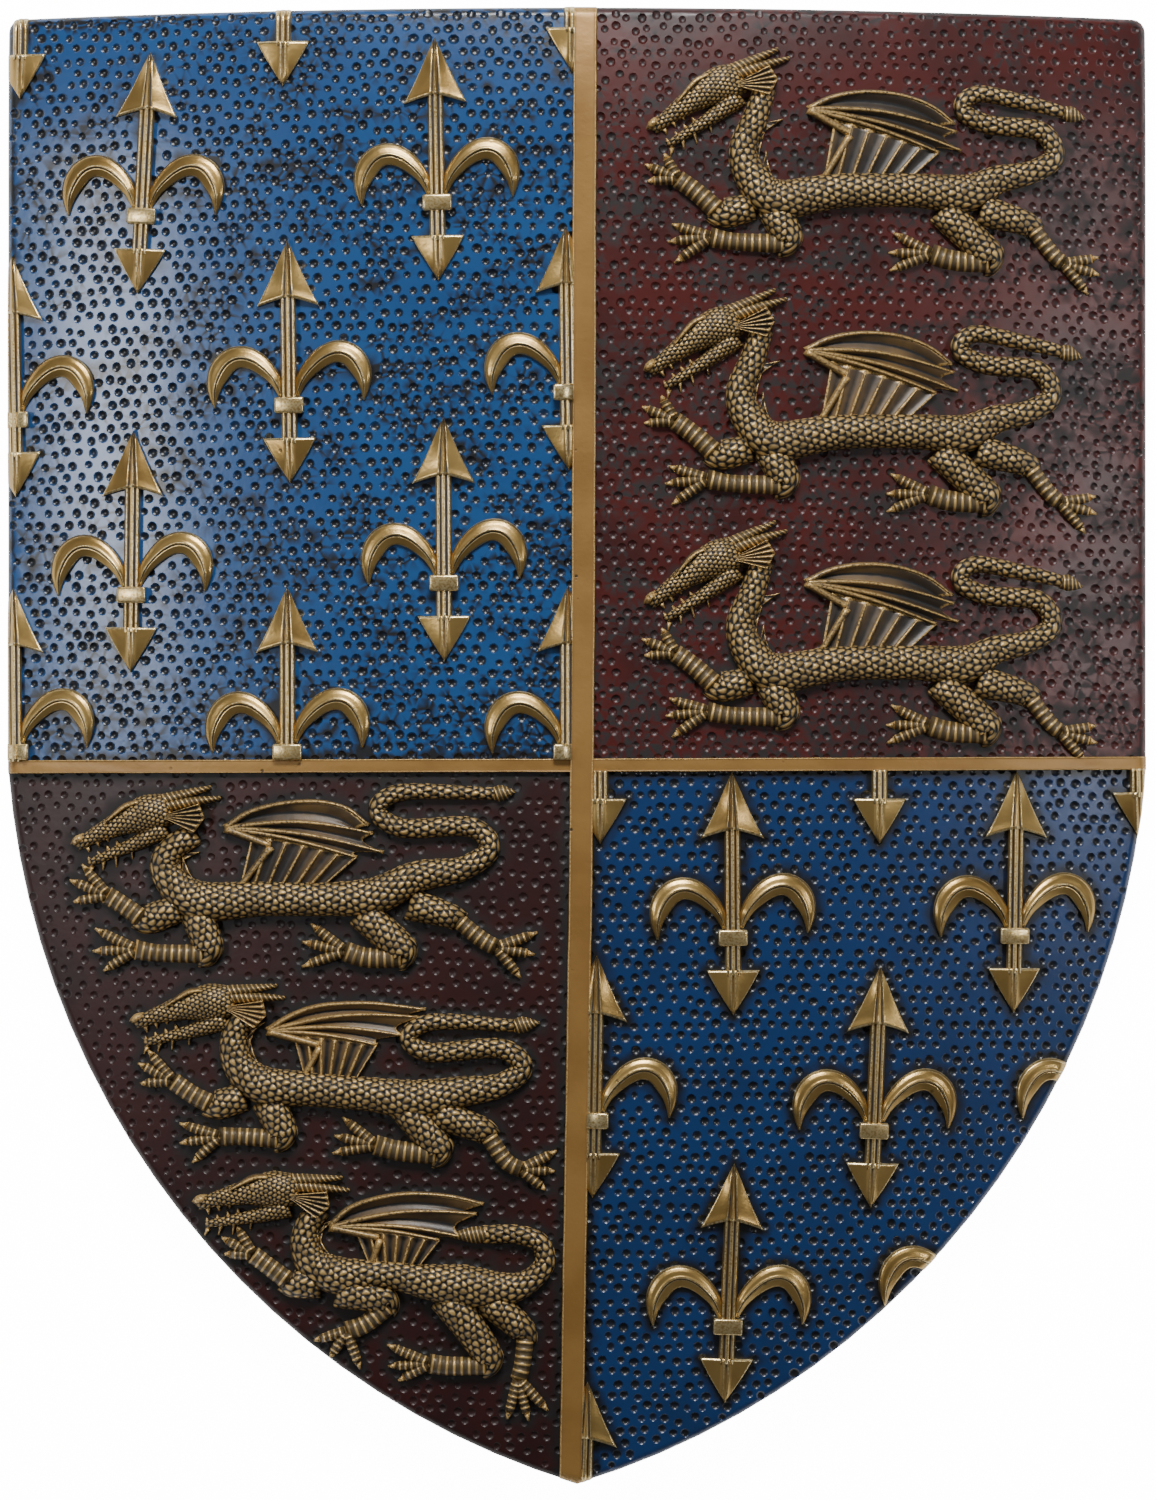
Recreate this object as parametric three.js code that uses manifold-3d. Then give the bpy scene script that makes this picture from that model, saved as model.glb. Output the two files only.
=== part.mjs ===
// A heraldic wall shield, cast in one piece with its reliefs: quarters of fleurs-de-lis and of
// walking dragons on a bowed ground. Millimetres. It lies on its back: +Z out of the front,
// +Y to the top edge, the ground under its back rim at z = 0, the middle of its box at x = y = 0.

import * as THREE from 'three';
import { mergeVertices } from 'three/addons/utils/BufferGeometryUtils.js';
import Module from 'manifold-3d';

const wasm = await Module();
wasm.setup();

// The body of the shield
const HEIGHT = 457;
const WIDTH = 356;
const STRAIGHT_SIDE = 235;
const SIDE_TURN = THREE.MathUtils.degToRad(4.5);
const CORNER_RADIUS = 4;
const WALL = 10;
const BOW = 38;
const EDGE_RISE = 8;
const EDGE_ROUND = 2.5;
const TOP_ROLL_DROP = 4;
const TOP_ROLL_LENGTH = 45;
const TIP_DROP = 25;
const TIP_BEND_START = 10;

// The two bands between the quarters
const PALE_WIDTH = 7.4;
const PALE_RELIEF = 2;
const PALE_X_AT_TOP = 2.5;
const PALE_X_AT_FESS = 1.5;
const PALE_X_AT_TIP = -1.9;
const FESS_WIDTH = 4.2;
const FESS_RELIEF = 1.5;
const FESS_Y_LEFT = -5.6;
const FESS_Y_RIGHT = -4.4;

// A fleur-de-lis, measured from the middle of its collar
const FLEUR_HEAD_TIP = 51;
const FLEUR_BARB_Y = 30.6;
const FLEUR_HEAD_WIDTH = 20;
const FLEUR_HEAD_NOTCH = 2.7;
const FLEUR_SHAFT_WIDTH = 5;
const FLEUR_COLLAR_WIDTH = 9.1;
const FLEUR_COLLAR_HEIGHT = 5;
const FLEUR_FOOT_TOP = 10.1;
const FLEUR_FOOT_TIP = 24;
const FLEUR_FOOT_WIDTH = 16.3;
const FLEUR_RELIEF = 3;
const FLEUR_COLLAR_RELIEF = 3.6;
const FLEUR_WALL_RELIEF = 1.2;

// A dragon
const DRAGON_LENGTH = 143;
const DRAGON_SKIN = 1.2;
const DRAGON_SWELL = 0.85;
const WING_RELIEF = 1.6;
const WING_PLEAT = 1.6;
const EAR_RELIEF = 5;
const TAIL_TIP_RELIEF = 3.4;
const PALM_SHARE = 0.36;
const TOE_ROOT = 0.95;
const TOE_TIP = 0.4;

// The flat pad on the back that a hanger is fixed to
const PAD_WIDTH = 44;
const PAD_HEIGHT = 26;
const PAD_DEPTH = 6;
const PAD_BELOW_TOP = 38;

// How deep the reliefs root in the wall, and how far a cutting block reaches past the shield
const ROOT = 3;
const REACH = 30;

// How finely the bowed ground and the outline are faceted
const GROUND_COLUMNS = 8;
const GROUND_ROWS = 9;
const TOP_EDGE_STEPS = 10;
const SIDE_STEPS = 3;
const ARC_STEPS = 10;
const CORNER_STEPS = 2;
const BAND_STEPS = 9;
const SHORTEST_EDGE = 0.05;
const THINNEST_FACET = 0.003;

const TOP_Y = HEIGHT / 2;
const TIP_Y = -HEIGHT / 2;
const SIDE_X = WIDTH / 2;
const BOW_RADIUS = (SIDE_X ** 2 + BOW ** 2) / (2 * BOW);

// The height of the smooth ground: an arch across, rolled down at the top and bent down to the tip.
function groundHeight(x, y) {
  const arch = BOW_RADIUS - Math.sqrt(BOW_RADIUS ** 2 - Math.min(Math.abs(x), SIDE_X + REACH) ** 2);
  const roll = Math.max(0, (y - (TOP_Y - TOP_ROLL_LENGTH)) / TOP_ROLL_LENGTH);
  const bend = Math.max(0, (TIP_BEND_START - y) / (TIP_BEND_START - TIP_Y));
  return EDGE_RISE + BOW - arch - TOP_ROLL_DROP * roll ** 2 - TIP_DROP * bend ** 2;
}

// Solids from faces

function signedVolume(points, triangles) {
  let volume = 0;
  for (const [a, b, c] of triangles) {
    const [p, q, r] = [points[a], points[b], points[c]];
    volume += p[0] * (q[1] * r[2] - q[2] * r[1]);
    volume += p[1] * (q[2] * r[0] - q[0] * r[2]);
    volume += p[2] * (q[0] * r[1] - q[1] * r[0]);
  }
  return volume / 6;
}

function solidFromFaces(points, triangles) {
  const inward = signedVolume(points, triangles) < 0;
  const faces = inward ? triangles.map(([a, b, c]) => [a, c, b]) : triangles;
  return new wasm.Manifold(new wasm.Mesh({
    numProp: 3,
    vertProperties: new Float32Array(points.flat()),
    triVerts: new Uint32Array(faces.flat()),
  }));
}

// A closed body through rings of equally many points, flat at both ends.
function loft(rings) {
  const count = rings[0].length;
  const triangles = [];
  for (let ring = 0; ring + 1 < rings.length; ring += 1) {
    for (let i = 0; i < count; i += 1) {
      const here = ring * count + i;
      const beside = ring * count + (i + 1) % count;
      triangles.push([here, beside, beside + count]);
      triangles.push([here, beside + count, here + count]);
    }
  }
  const last = (rings.length - 1) * count;
  for (let i = 1; i + 1 < count; i += 1) {
    triangles.push([0, i + 1, i]);
    triangles.push([last, last + i, last + i + 1]);
  }
  return solidFromFaces(rings.flat(), triangles);
}

function solidFromGeometry(source) {
  source.deleteAttribute('normal');
  source.deleteAttribute('uv');
  const merged = mergeVertices(source, 1e-4);
  const position = merged.getAttribute('position');
  const points = [];
  for (let i = 0; i < position.count; i += 1) {
    points.push([position.getX(i), position.getY(i), position.getZ(i)]);
  }
  const triangles = [];
  for (let i = 0; i < merged.index.count; i += 3) {
    triangles.push([merged.index.getX(i), merged.index.getX(i + 1), merged.index.getX(i + 2)]);
  }
  return solidFromFaces(points, triangles);
}

// A block of straight walls over a flat outline, from one height to another.
function prism(outline, low, high) {
  const shape = new THREE.Shape(outline.map(([x, y]) => new THREE.Vector2(x, y)));
  const block = new THREE.ExtrudeGeometry(shape, { depth: high - low, bevelEnabled: false });
  return solidFromGeometry(block.translate(0, 0, low));
}

function union(solids) {
  return solids.reduce((whole, piece) => whole.add(piece));
}

// Reliefs are made over a flat ground and then laid on the bowed one.
function layOnGround([x, y, height]) {
  return [x, y, groundHeight(x, y) + height];
}

// The outline

function outlinePoints() {
  const drop = HEIGHT - STRAIGHT_SIDE;
  const chord = Math.hypot(SIDE_X, drop);
  const chordTurn = Math.atan2(SIDE_X, drop) - SIDE_TURN;
  const radius = chord / (2 * Math.sin(chordTurn));
  const shoulderY = TOP_Y - STRAIGHT_SIDE;
  const centreX = radius * Math.cos(SIDE_TURN) - SIDE_X;
  const centreY = shoulderY + radius * Math.sin(SIDE_TURN);
  const points = [];
  for (let i = 0; i < ARC_STEPS; i += 1) {
    const angle = SIDE_TURN + 2 * chordTurn * (1 - i / ARC_STEPS);
    points.push([radius * Math.cos(angle) - centreX, centreY - radius * Math.sin(angle)]);
  }
  const cornerY = TOP_Y - CORNER_RADIUS;
  for (let i = 0; i < SIDE_STEPS; i += 1) {
    points.push([SIDE_X, shoulderY + (cornerY - shoulderY) * i / SIDE_STEPS]);
  }
  const cornerX = SIDE_X - CORNER_RADIUS;
  for (let i = 0; i <= CORNER_STEPS; i += 1) {
    const angle = Math.PI / 2 * i / CORNER_STEPS;
    points.push([cornerX + CORNER_RADIUS * Math.cos(angle), cornerY + CORNER_RADIUS * Math.sin(angle)]);
  }
  for (let i = 1; i < TOP_EDGE_STEPS / 2; i += 1) {
    points.push([cornerX * (1 - 2 * i / TOP_EDGE_STEPS), TOP_Y]);
  }
  const left = points.slice(1).reverse().map(([x, y]) => [-x, y]);
  return [...points, [0, TOP_Y], ...left];
}

// The outline drawn in by a distance, each corner along its bisector.
function drawnIn(outline, distance) {
  const count = outline.length;
  return outline.map(([x, y], i) => {
    const [bx, by] = outline[(i + count - 1) % count];
    const [ax, ay] = outline[(i + 1) % count];
    const into = new THREE.Vector2(by - y, x - bx).normalize();
    const out = new THREE.Vector2(y - ay, ax - x).normalize();
    const bisector = into.clone().add(out).normalize();
    const step = distance / bisector.dot(into);
    return [x + bisector.x * step, y + bisector.y * step];
  });
}

// The bowed wall, its edge and its back

function bowedSlab() {
  const slab = new THREE.BoxGeometry(
    WIDTH + REACH, HEIGHT + REACH, WALL, GROUND_COLUMNS, GROUND_ROWS, 1);
  const position = slab.getAttribute('position');
  for (let i = 0; i < position.count; i += 1) {
    const top = groundHeight(position.getX(i), position.getY(i));
    position.setZ(i, position.getZ(i) > 0 ? top : top - WALL);
  }
  return solidFromGeometry(slab);
}

// What lies inside the outline, with the front edge rounded over.
function outlineBlock() {
  const outline = outlinePoints();
  const below = outline.map(([x, y]) => [x, y, -REACH]);
  const rounding = [0, Math.PI / 4, Math.PI / 2].map((angle) => {
    const inset = EDGE_ROUND * (1 - Math.cos(angle));
    const fall = EDGE_ROUND * (1 - Math.sin(angle));
    return drawnIn(outline, inset).map(([x, y]) => [x, y, groundHeight(x, y) - fall]);
  });
  const above = rounding.at(-1).map(([x, y]) => [x, y, BOW + EDGE_RISE + REACH]);
  return loft([below, ...rounding, above]);
}

function aboveGround() {
  const depth = BOW + EDGE_RISE + 2 * REACH;
  const block = new THREE.BoxGeometry(WIDTH + 2 * REACH, HEIGHT + 2 * REACH, depth);
  return solidFromGeometry(block.translate(0, 0, depth / 2));
}

function hangerPad() {
  const padY = TOP_Y - PAD_BELOW_TOP;
  const faceZ = groundHeight(0, padY) - WALL - PAD_DEPTH;
  const depth = PAD_DEPTH + WALL / 2;
  const pad = new THREE.BoxGeometry(PAD_WIDTH, PAD_HEIGHT, depth);
  return solidFromGeometry(pad.translate(0, padY, faceZ + depth / 2));
}

// Ridges: a profile run along a path. A profile lists across and up as shares of the ridge's half
// width and height, and an up of -1 stands for its root in the wall.

const ROUND_PROFILE = [[1, -1], [0.58, 1], [-0.58, 1], [-1, -1]];
const ROOF_PROFILE = [[1, -1], [0, 1], [-1, -1]];
const FLAT_PROFILE = [[1, -1], [0.84, 1], [-0.84, 1], [-1, -1]];

function ridge(stations, profile) {
  const rings = stations.map(([x, y, halfWidth, height], i) => {
    const before = stations[Math.max(i - 1, 0)];
    const after = stations[Math.min(i + 1, stations.length - 1)];
    const heading = Math.atan2(after[1] - before[1], after[0] - before[0]);
    return profile.map(([across, up]) => layOnGround([
      x - Math.sin(heading) * across * halfWidth,
      y + Math.cos(heading) * across * halfWidth,
      up < 0 ? -ROOT : up * height,
    ]));
  });
  return loft(rings);
}

function smoothPath(points, steps) {
  const curve = new THREE.CatmullRomCurve3(
    points.map(([x, y, halfWidth]) => new THREE.Vector3(x, y, halfWidth)), false, 'centripetal');
  return curve.getPoints(steps).map((p) => [p.x, p.y, p.z]);
}

// A plate with upright walls over an outline of points, each with its own height, and perhaps some
// crest points inside it. The faces, which run the same way round as the outline, say how the top
// is split between the points.
function facetedPlate(outline, crest, faces) {
  const points = [...outline, ...crest];
  const count = points.length;
  const under = points.map(([x, y]) => layOnGround([x, y, -ROOT]));
  const over = points.map(layOnGround);
  const triangles = faces.flatMap(([a, b, c]) => [[a, c, b], [a + count, b + count, c + count]]);
  for (let i = 0; i < outline.length; i += 1) {
    const next = (i + 1) % outline.length;
    triangles.push([i, next, next + count], [i, next + count, i + count]);
  }
  return solidFromFaces([...under, ...over], triangles);
}

// The bands

function paleX(y) {
  const fessY = (FESS_Y_LEFT + FESS_Y_RIGHT) / 2;
  if (y > fessY) {
    return THREE.MathUtils.mapLinear(y, fessY, TOP_Y, PALE_X_AT_FESS, PALE_X_AT_TOP);
  }
  return THREE.MathUtils.mapLinear(y, TIP_Y, fessY, PALE_X_AT_TIP, PALE_X_AT_FESS);
}

function fessY(x) {
  return THREE.MathUtils.mapLinear(x, -SIDE_X, SIDE_X, FESS_Y_LEFT, FESS_Y_RIGHT);
}

function pale() {
  const stations = [];
  for (let i = 0; i <= BAND_STEPS; i += 1) {
    const y = THREE.MathUtils.lerp(TIP_Y - REACH / 2, TOP_Y + REACH / 2, i / BAND_STEPS);
    stations.push([paleX(y), y, PALE_WIDTH / 2, PALE_RELIEF]);
  }
  return ridge(stations, FLAT_PROFILE);
}

function fess() {
  const stations = [];
  for (let i = 0; i <= BAND_STEPS; i += 1) {
    const x = THREE.MathUtils.lerp(-SIDE_X - REACH / 2, SIDE_X + REACH / 2, i / BAND_STEPS);
    stations.push([x, fessY(x), FESS_WIDTH / 2, FESS_RELIEF]);
  }
  return ridge(stations, FLAT_PROFILE);
}

// The space of one quarter, from a little inside the bands' edges outwards.
function quarterBlock(side, rise) {
  const tuck = 1;
  const paleEdge = side * (PALE_WIDTH / 2 - tuck);
  const fessEdge = rise * (FESS_WIDTH / 2 - tuck);
  const outerX = side * (SIDE_X + REACH);
  const outerY = rise * (TOP_Y + REACH);
  const inner = [paleX(fessY(0)) + paleEdge, fessY(0) + fessEdge];
  const along = [paleX(outerY) + paleEdge, outerY];
  const across = [outerX, fessY(outerX) + fessEdge];
  return prism([inner, along, [outerX, outerY], across], -REACH, BOW + EDGE_RISE + REACH);
}

// Fleurs-de-lis

// The head, the shaft and the foot in one, with a ridge down the middle.
function spear(place) {
  const headHalf = FLEUR_HEAD_WIDTH / 2;
  const footHalf = FLEUR_FOOT_WIDTH / 2;
  const shaftHalf = FLEUR_SHAFT_WIDTH / 2;
  const shaftTop = FLEUR_BARB_Y + FLEUR_HEAD_NOTCH;
  const left = [[-headHalf, FLEUR_BARB_Y], [-shaftHalf, shaftTop],
    [-shaftHalf, -FLEUR_FOOT_TOP], [-footHalf, -FLEUR_FOOT_TOP]];
  const right = left.map(([u, v]) => [-u, v]).reverse();
  const outline = [[0, FLEUR_HEAD_TIP], ...left, [0, -FLEUR_FOOT_TIP], ...right];
  const crest = [[0, shaftTop], [0, -FLEUR_FOOT_TOP]];
  const at = (points, height) => points.map(([u, v]) => [...place(u, v), height]);
  return facetedPlate(at(outline, FLEUR_WALL_RELIEF), at(crest, FLEUR_RELIEF), [
    [0, 1, 10], [1, 2, 10], [2, 3, 11], [2, 11, 10], [3, 4, 11], [4, 5, 11],
    [5, 6, 11], [6, 7, 11], [7, 8, 10], [7, 10, 11], [8, 9, 10], [9, 0, 10]]);
}

// The side petal springs from the collar, arches over and comes down to a point.
const PETAL_PATH = [
  [3.3, 1.2, 0.9], [5.7, 8.2, 3.1], [10.6, 13.7, 4.9], [16.8, 15.2, 5.1], [21.7, 10.9, 3.6], [23, 2, 0.3],
];
const PETAL_PROFILE = [[1, -1], [0.3, 1], [-1, -1]];

// The placing of a fleur's own points, right and up from its collar, on the shield.
function leaning([x, y, lean]) {
  const turn = THREE.MathUtils.degToRad(lean);
  return (u, v) => [
    x + u * Math.cos(turn) + v * Math.sin(turn),
    y + v * Math.cos(turn) - u * Math.sin(turn),
  ];
}

function petal(place, side) {
  return ridge(
    PETAL_PATH.map(([u, v, halfWidth]) => [
      ...place(side * u, v), halfWidth, FLEUR_RELIEF * Math.min(1, 0.4 + halfWidth / 4)]),
    PETAL_PROFILE.map(([across, up]) => [side * across, up]));
}

function fleur(spot) {
  const place = leaning(spot);
  const collar = ridge(
    [-1, 1].map((end) => [
      ...place(0, end * FLEUR_COLLAR_HEIGHT / 2), FLEUR_COLLAR_WIDTH / 2, FLEUR_COLLAR_RELIEF]),
    FLAT_PROFILE);
  return union([
    spear(place),
    petal(place, 1),
    petal(place, -1),
    collar,
  ]);
}

// Where each fleur's collar sits, and its lean to the right in degrees. Many run past their quarter.
const CHIEF_FLEURS = [
  [-174, 227, 0], [-90.8, 228.6, 0], [-1.5, 232, 0],
  [-135.1, 165.2, 3], [-43, 168, -1],
  [-175.7, 102.7, -1], [-88.8, 106, -0.7], [-2.8, 109.6, -0.7],
  [-138.3, 47.8, 0.7], [-40.9, 51, -0.3],
  [-175.7, -0.9, -0.5], [-89.4, -0.9, 0], [-2.8, -0.9, 0],
];
const BASE_FLEURS = [
  [7.1, -5.2, 0], [93.4, -5.2, 0], [175.1, -3.4, -1],
  [48, -58.1, -0.4], [135.9, -58, 0.7],
  [5.2, -114.5, 1], [91.9, -118.2, 2.1],
  [46.7, -178.9, 2.1], [1.5, -247, 2],
];

// Near the base's right edge only the left petal of two fleurs is carved: the same three figures.
const LONE_PETALS = [[162, -115.5, 2], [119, -173.5, 2]];

// Dragons. Their points are hundredths of the dragon's length, from its foremost claws and from
// the line of its back; the third figure of a point is the half width there.

// The head, from the eye: towards the snout, and up.
const SKULL = [
  [-9, -4.6, 3.4], [-4, -2.6, 4.1], [2, -1.5, 2.8], [13.4, -0.9, 1.2]];
const JAW = [[-6, -7, 2.8], [1, -7, 1.8], [13, -5.5, 0.9]];
const HORNS = [[[-7, -1.6, 1.3], [-18, -4.7, 0.4]], [[-7, -2.8, 1.4], [-19.2, -8, 0.5]]];
const EAR = [[-6.2, -4.6], [-14.9, -6.5], [-14.4, -9.8], [-10.9, -11.3]];

const TALL_DRAGON = {
  eye: [11.7, 22.3],
  dip: 40,
  spine: [
    [26.5, 22.6, 2.4], [24.1, 15.5, 2.8], [21.5, 8.6, 3.1], [23.7, 2.6, 3.8], [28, -1.5, 4.3],
    [42, 0.3, 3.8], [58, 0.7, 3.7], [71, 0.4, 4.1], [77, 3.4, 3.1], [84.4, 5.2, 2.5],
    [89.7, 8.8, 2.3], [87.3, 13.8, 2.2], [74.2, 15.5, 2.1], [69, 18.6, 2], [71.6, 21.7, 1.9],
    [82.8, 20.4, 1.7], [92.5, 18.3, 1.3],
  ],
  tailTip: [96.5, 17.2],
  legs: [
    { limb: [[28, -3.2, 3.8], [31.6, -11.2, 3.2], [19.4, -10.8, 1.9], [14.4, -9.9, 2.2]],
      toes: [[6.2, -7.2], [5.4, -11], [6.8, -15.6]] },
    { limb: [[24, -3.2, 3], [16.6, -4.7, 3.3], [11.2, 0, 2], [7.5, 2.6, 2]],
      toes: [[4.6, 8], [0.4, 5.6], [0.9, 2]] },
    { limb: [[64.5, -3.2, 3.6], [76.3, -14.6, 3.4], [66.7, -14.2, 2.2], [62.4, -12.9, 2.2]],
      toes: [[54.2, -8.6], [53.1, -12.9], [53.3, -16.8]] },
    { limb: [[73.1, -3.2, 3.6], [84.5, -6.5, 2.6], [89.7, -12.9, 1.7], [91.8, -14.5, 1.7]],
      toes: [[97.2, -21.1], [99.8, -16.8], [99.6, -12.9]] },
  ],
  wing: {
    joint: [35.6, 17.8], arch: [[42.3, 20.9], [51.2, 21.7], [57.9, 20.7], [63.7, 18.3]],
    tips: [[67.7, 15.1], [69, 9.4], [64.2, 8.9]], back: [57, 2.5], foot: [39.1, 3], elbow: [44.9, 12.5],
  },
};

const LOW_DRAGON = {
  eye: [12.3, 18.1],
  dip: 30,
  spine: [
    [27.7, 13.6, 2.6], [22.5, 10.2, 2.9], [20.6, 6.6, 3.2], [23.2, 2, 3.8], [28, -1, 4.3],
    [42, -0.6, 3.8], [56.6, -0.6, 3.7], [66.9, 0.2, 4], [75.7, 4.3, 3.4], [86, 6.2, 2.6],
    [91.6, 10.5, 2.3], [88.5, 14.6, 2.2], [71.4, 15, 2.1], [67, 18.5, 2], [70, 21.8, 1.9],
    [93, 22.2, 1.3],
  ],
  tailTip: [97, 22.6],
  legs: [
    { limb: [[27.5, -3, 3.8], [30.5, -12.6, 3.2], [18.9, -12.5, 1.9], [14.2, -11.8, 2.2]],
      toes: [[5.2, -7.3], [4.7, -12.3], [7.1, -16.6]] },
    { limb: [[24, -2.6, 3.2], [16.1, -5.4, 3.2], [12.2, -2.6, 2], [8, 0, 2]],
      toes: [[2.4, 6.7], [-0.4, 3.2], [0.4, -1.6]] },
    { limb: [[63.5, -3.2, 3.6], [73.6, -12.9, 3.4], [64.5, -13.2, 2.2], [60, -11.8, 2.2]],
      toes: [[52.7, -5.9], [50.8, -9.9], [50.8, -15.3]] },
    { limb: [[74, -1.5, 3.6], [84.1, -4.7, 2.6], [90.1, -9.5, 1.8], [93, -11, 1.8]],
      toes: [[98.1, -17.6], [101.1, -12.5], [101.7, -7.7]] },
  ],
  wing: {
    joint: [34, 14.6], arch: [[39.4, 18.1], [50.3, 20.4], [60, 19.4]],
    tips: [[65.4, 15.3], [68.6, 9.5], [62.8, 8.4]], back: [55.3, 2], foot: [37.4, 2], elbow: [44.3, 10.8],
  },
};

const LONG_DRAGON = {
  eye: [11.8, 19.8],
  dip: 22,
  spine: [
    [26, 16.4, 2.4], [22.6, 14, 2.7], [21.5, 10, 3], [22.8, 5, 3.6], [27.5, 1.1, 4.2],
    [38, 0.2, 3.8], [51, -0.8, 3.7], [61.5, -1.9, 4.3], [70.8, -0.2, 3.4], [79.4, 1.3, 2.6],
    [84.4, 5.2, 2.3], [80.4, 9, 2.2], [63.2, 8.5, 2.1], [59.3, 11.4, 2], [62.5, 14.4, 1.9],
    [83.2, 14.2, 1.3],
  ],
  tailTip: [88, 14.8],
  legs: [
    { limb: [[29, -2.2, 3.8], [32.5, -10.8, 3.2], [22.5, -10.3, 1.9], [18.3, -10.4, 2.2]],
      toes: [[9.5, -7.6], [9.5, -12], [12.3, -16.3]] },
    { limb: [[24, -1.5, 3.2], [17, -3.6, 3.2], [12.3, -1.2, 2], [8, 1.7, 2]],
      toes: [[2.6, 8.4], [0.4, 5.4], [0.9, 0.9]] },
    { limb: [[58.5, -3.2, 3.6], [66.8, -13.8, 3.4], [57, -13, 2.2], [52.3, -11.8, 2.2]],
      toes: [[45.2, -5.8], [43.4, -9.9], [43, -13.8]] },
    { limb: [[64.7, -4.5, 3.6], [76.3, -9, 2.8], [81, -15.6, 1.8], [84, -17, 1.8]],
      toes: [[89.2, -21.5], [91.2, -17.4], [91.6, -12.9]] },
  ],
  wing: {
    joint: [28.8, 12.7], arch: [[37, 17.4], [49.9, 18.9]],
    tips: [[63.4, 17.6], [58.5, 12], [52.9, 9.9]], back: [48, 2], foot: [37, 3], elbow: [40.6, 9.7],
  },
};

const CROUCHED_DRAGON = {
  eye: [12.3, 20.2],
  dip: 18,
  spine: [
    [27, 15, 2.5], [24.2, 11.4, 2.7], [23.4, 7.1, 3.1], [25.4, 2.6, 3.8], [30.3, 0.3, 4.2],
    [41, 0.5, 3.1], [49.7, -0.9, 3.8], [57.6, -1.9, 4.8], [67.3, -2.4, 3.6],
    [72.4, -0.5, 2.6], [75.6, 3.4, 2.3], [74.6, 7.6, 2.2], [69.5, 9.5, 2.1], [62, 9.4, 2],
  ],
  tailTip: [54.4, 9.2],
  legs: [
    { limb: [[30.3, -3, 3.8], [42.4, -5.6, 3], [36.5, -10.4, 2], [32.5, -12, 2.2]],
      toes: [[25.3, -14.2], [28.8, -18], [35.5, -20.4]] },
    { limb: [[27, -1.6, 3.2], [20.2, -1.5, 3.2], [16.2, 1.5, 2], [12, 4.6, 2]],
      toes: [[8.6, 10.8], [5.2, 8.2], [5.8, 4.5]] },
    { limb: [[54, -4, 4], [60.6, -12.8, 3.6], [64, -19.2, 3], [54.5, -19.4, 2.1], [50.4, -18.9, 2.2]],
      toes: [[41.3, -14.8], [41.5, -19.6], [43.7, -22.8]] },
    { limb: [[63, -4.5, 3.8], [71.4, -12.4, 2.8], [70.6, -19.3, 1.8], [69.8, -22.3, 1.8]],
      toes: [[67.3, -31.2], [72, -31.4], [76.3, -29.2]] },
  ],
  wing: {
    joint: [28.8, 10.8], arch: [[33.5, 15.1], [44.3, 18.1], [55.1, 17.8]],
    tips: [[62.4, 16.1], [57.6, 9], [52.9, 8.2]], back: [48, 2], foot: [37.8, 2], elbow: [40, 8.6],
  },
};

// A limb's relief grows with its thickness.
function swell(halfWidth) {
  return DRAGON_SKIN + DRAGON_SWELL * halfWidth;
}

// Its skin is pleated between the finger bones, which run from the joint to the tips.
function wing({ joint, arch, tips, back, foot, elbow }, place) {
  const notch = ([ax, ay], [bx, by]) => [
    THREE.MathUtils.lerp((ax + bx) / 2, joint[0], 0.14),
    THREE.MathUtils.lerp((ay + by) / 2, joint[1], 0.14),
  ];
  const bones = [joint, ...arch, tips[0]];
  const low = WING_RELIEF;
  const high = WING_RELIEF + WING_PLEAT;
  const outline = [
    ...bones.map((point) => [...point, high]),
    [...notch(tips[0], tips[1]), low], [...tips[1], high],
    [...notch(tips[1], tips[2]), low], [...tips[2], high],
    [...back, low], [...foot, high], [...elbow, high],
  ];
  const last = outline.length - 1;
  const thirdTip = last - 3;
  const faces = [[0, thirdTip, last], [last, thirdTip, thirdTip + 1], [last, thirdTip + 1, last - 1]];
  for (let i = 1; i < thirdTip; i += 1) {
    faces.push([0, i, i + 1]);
  }
  return facetedPlate(outline.map(([u, v, height]) => [...place(u, v), height]), [], faces);
}

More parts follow.
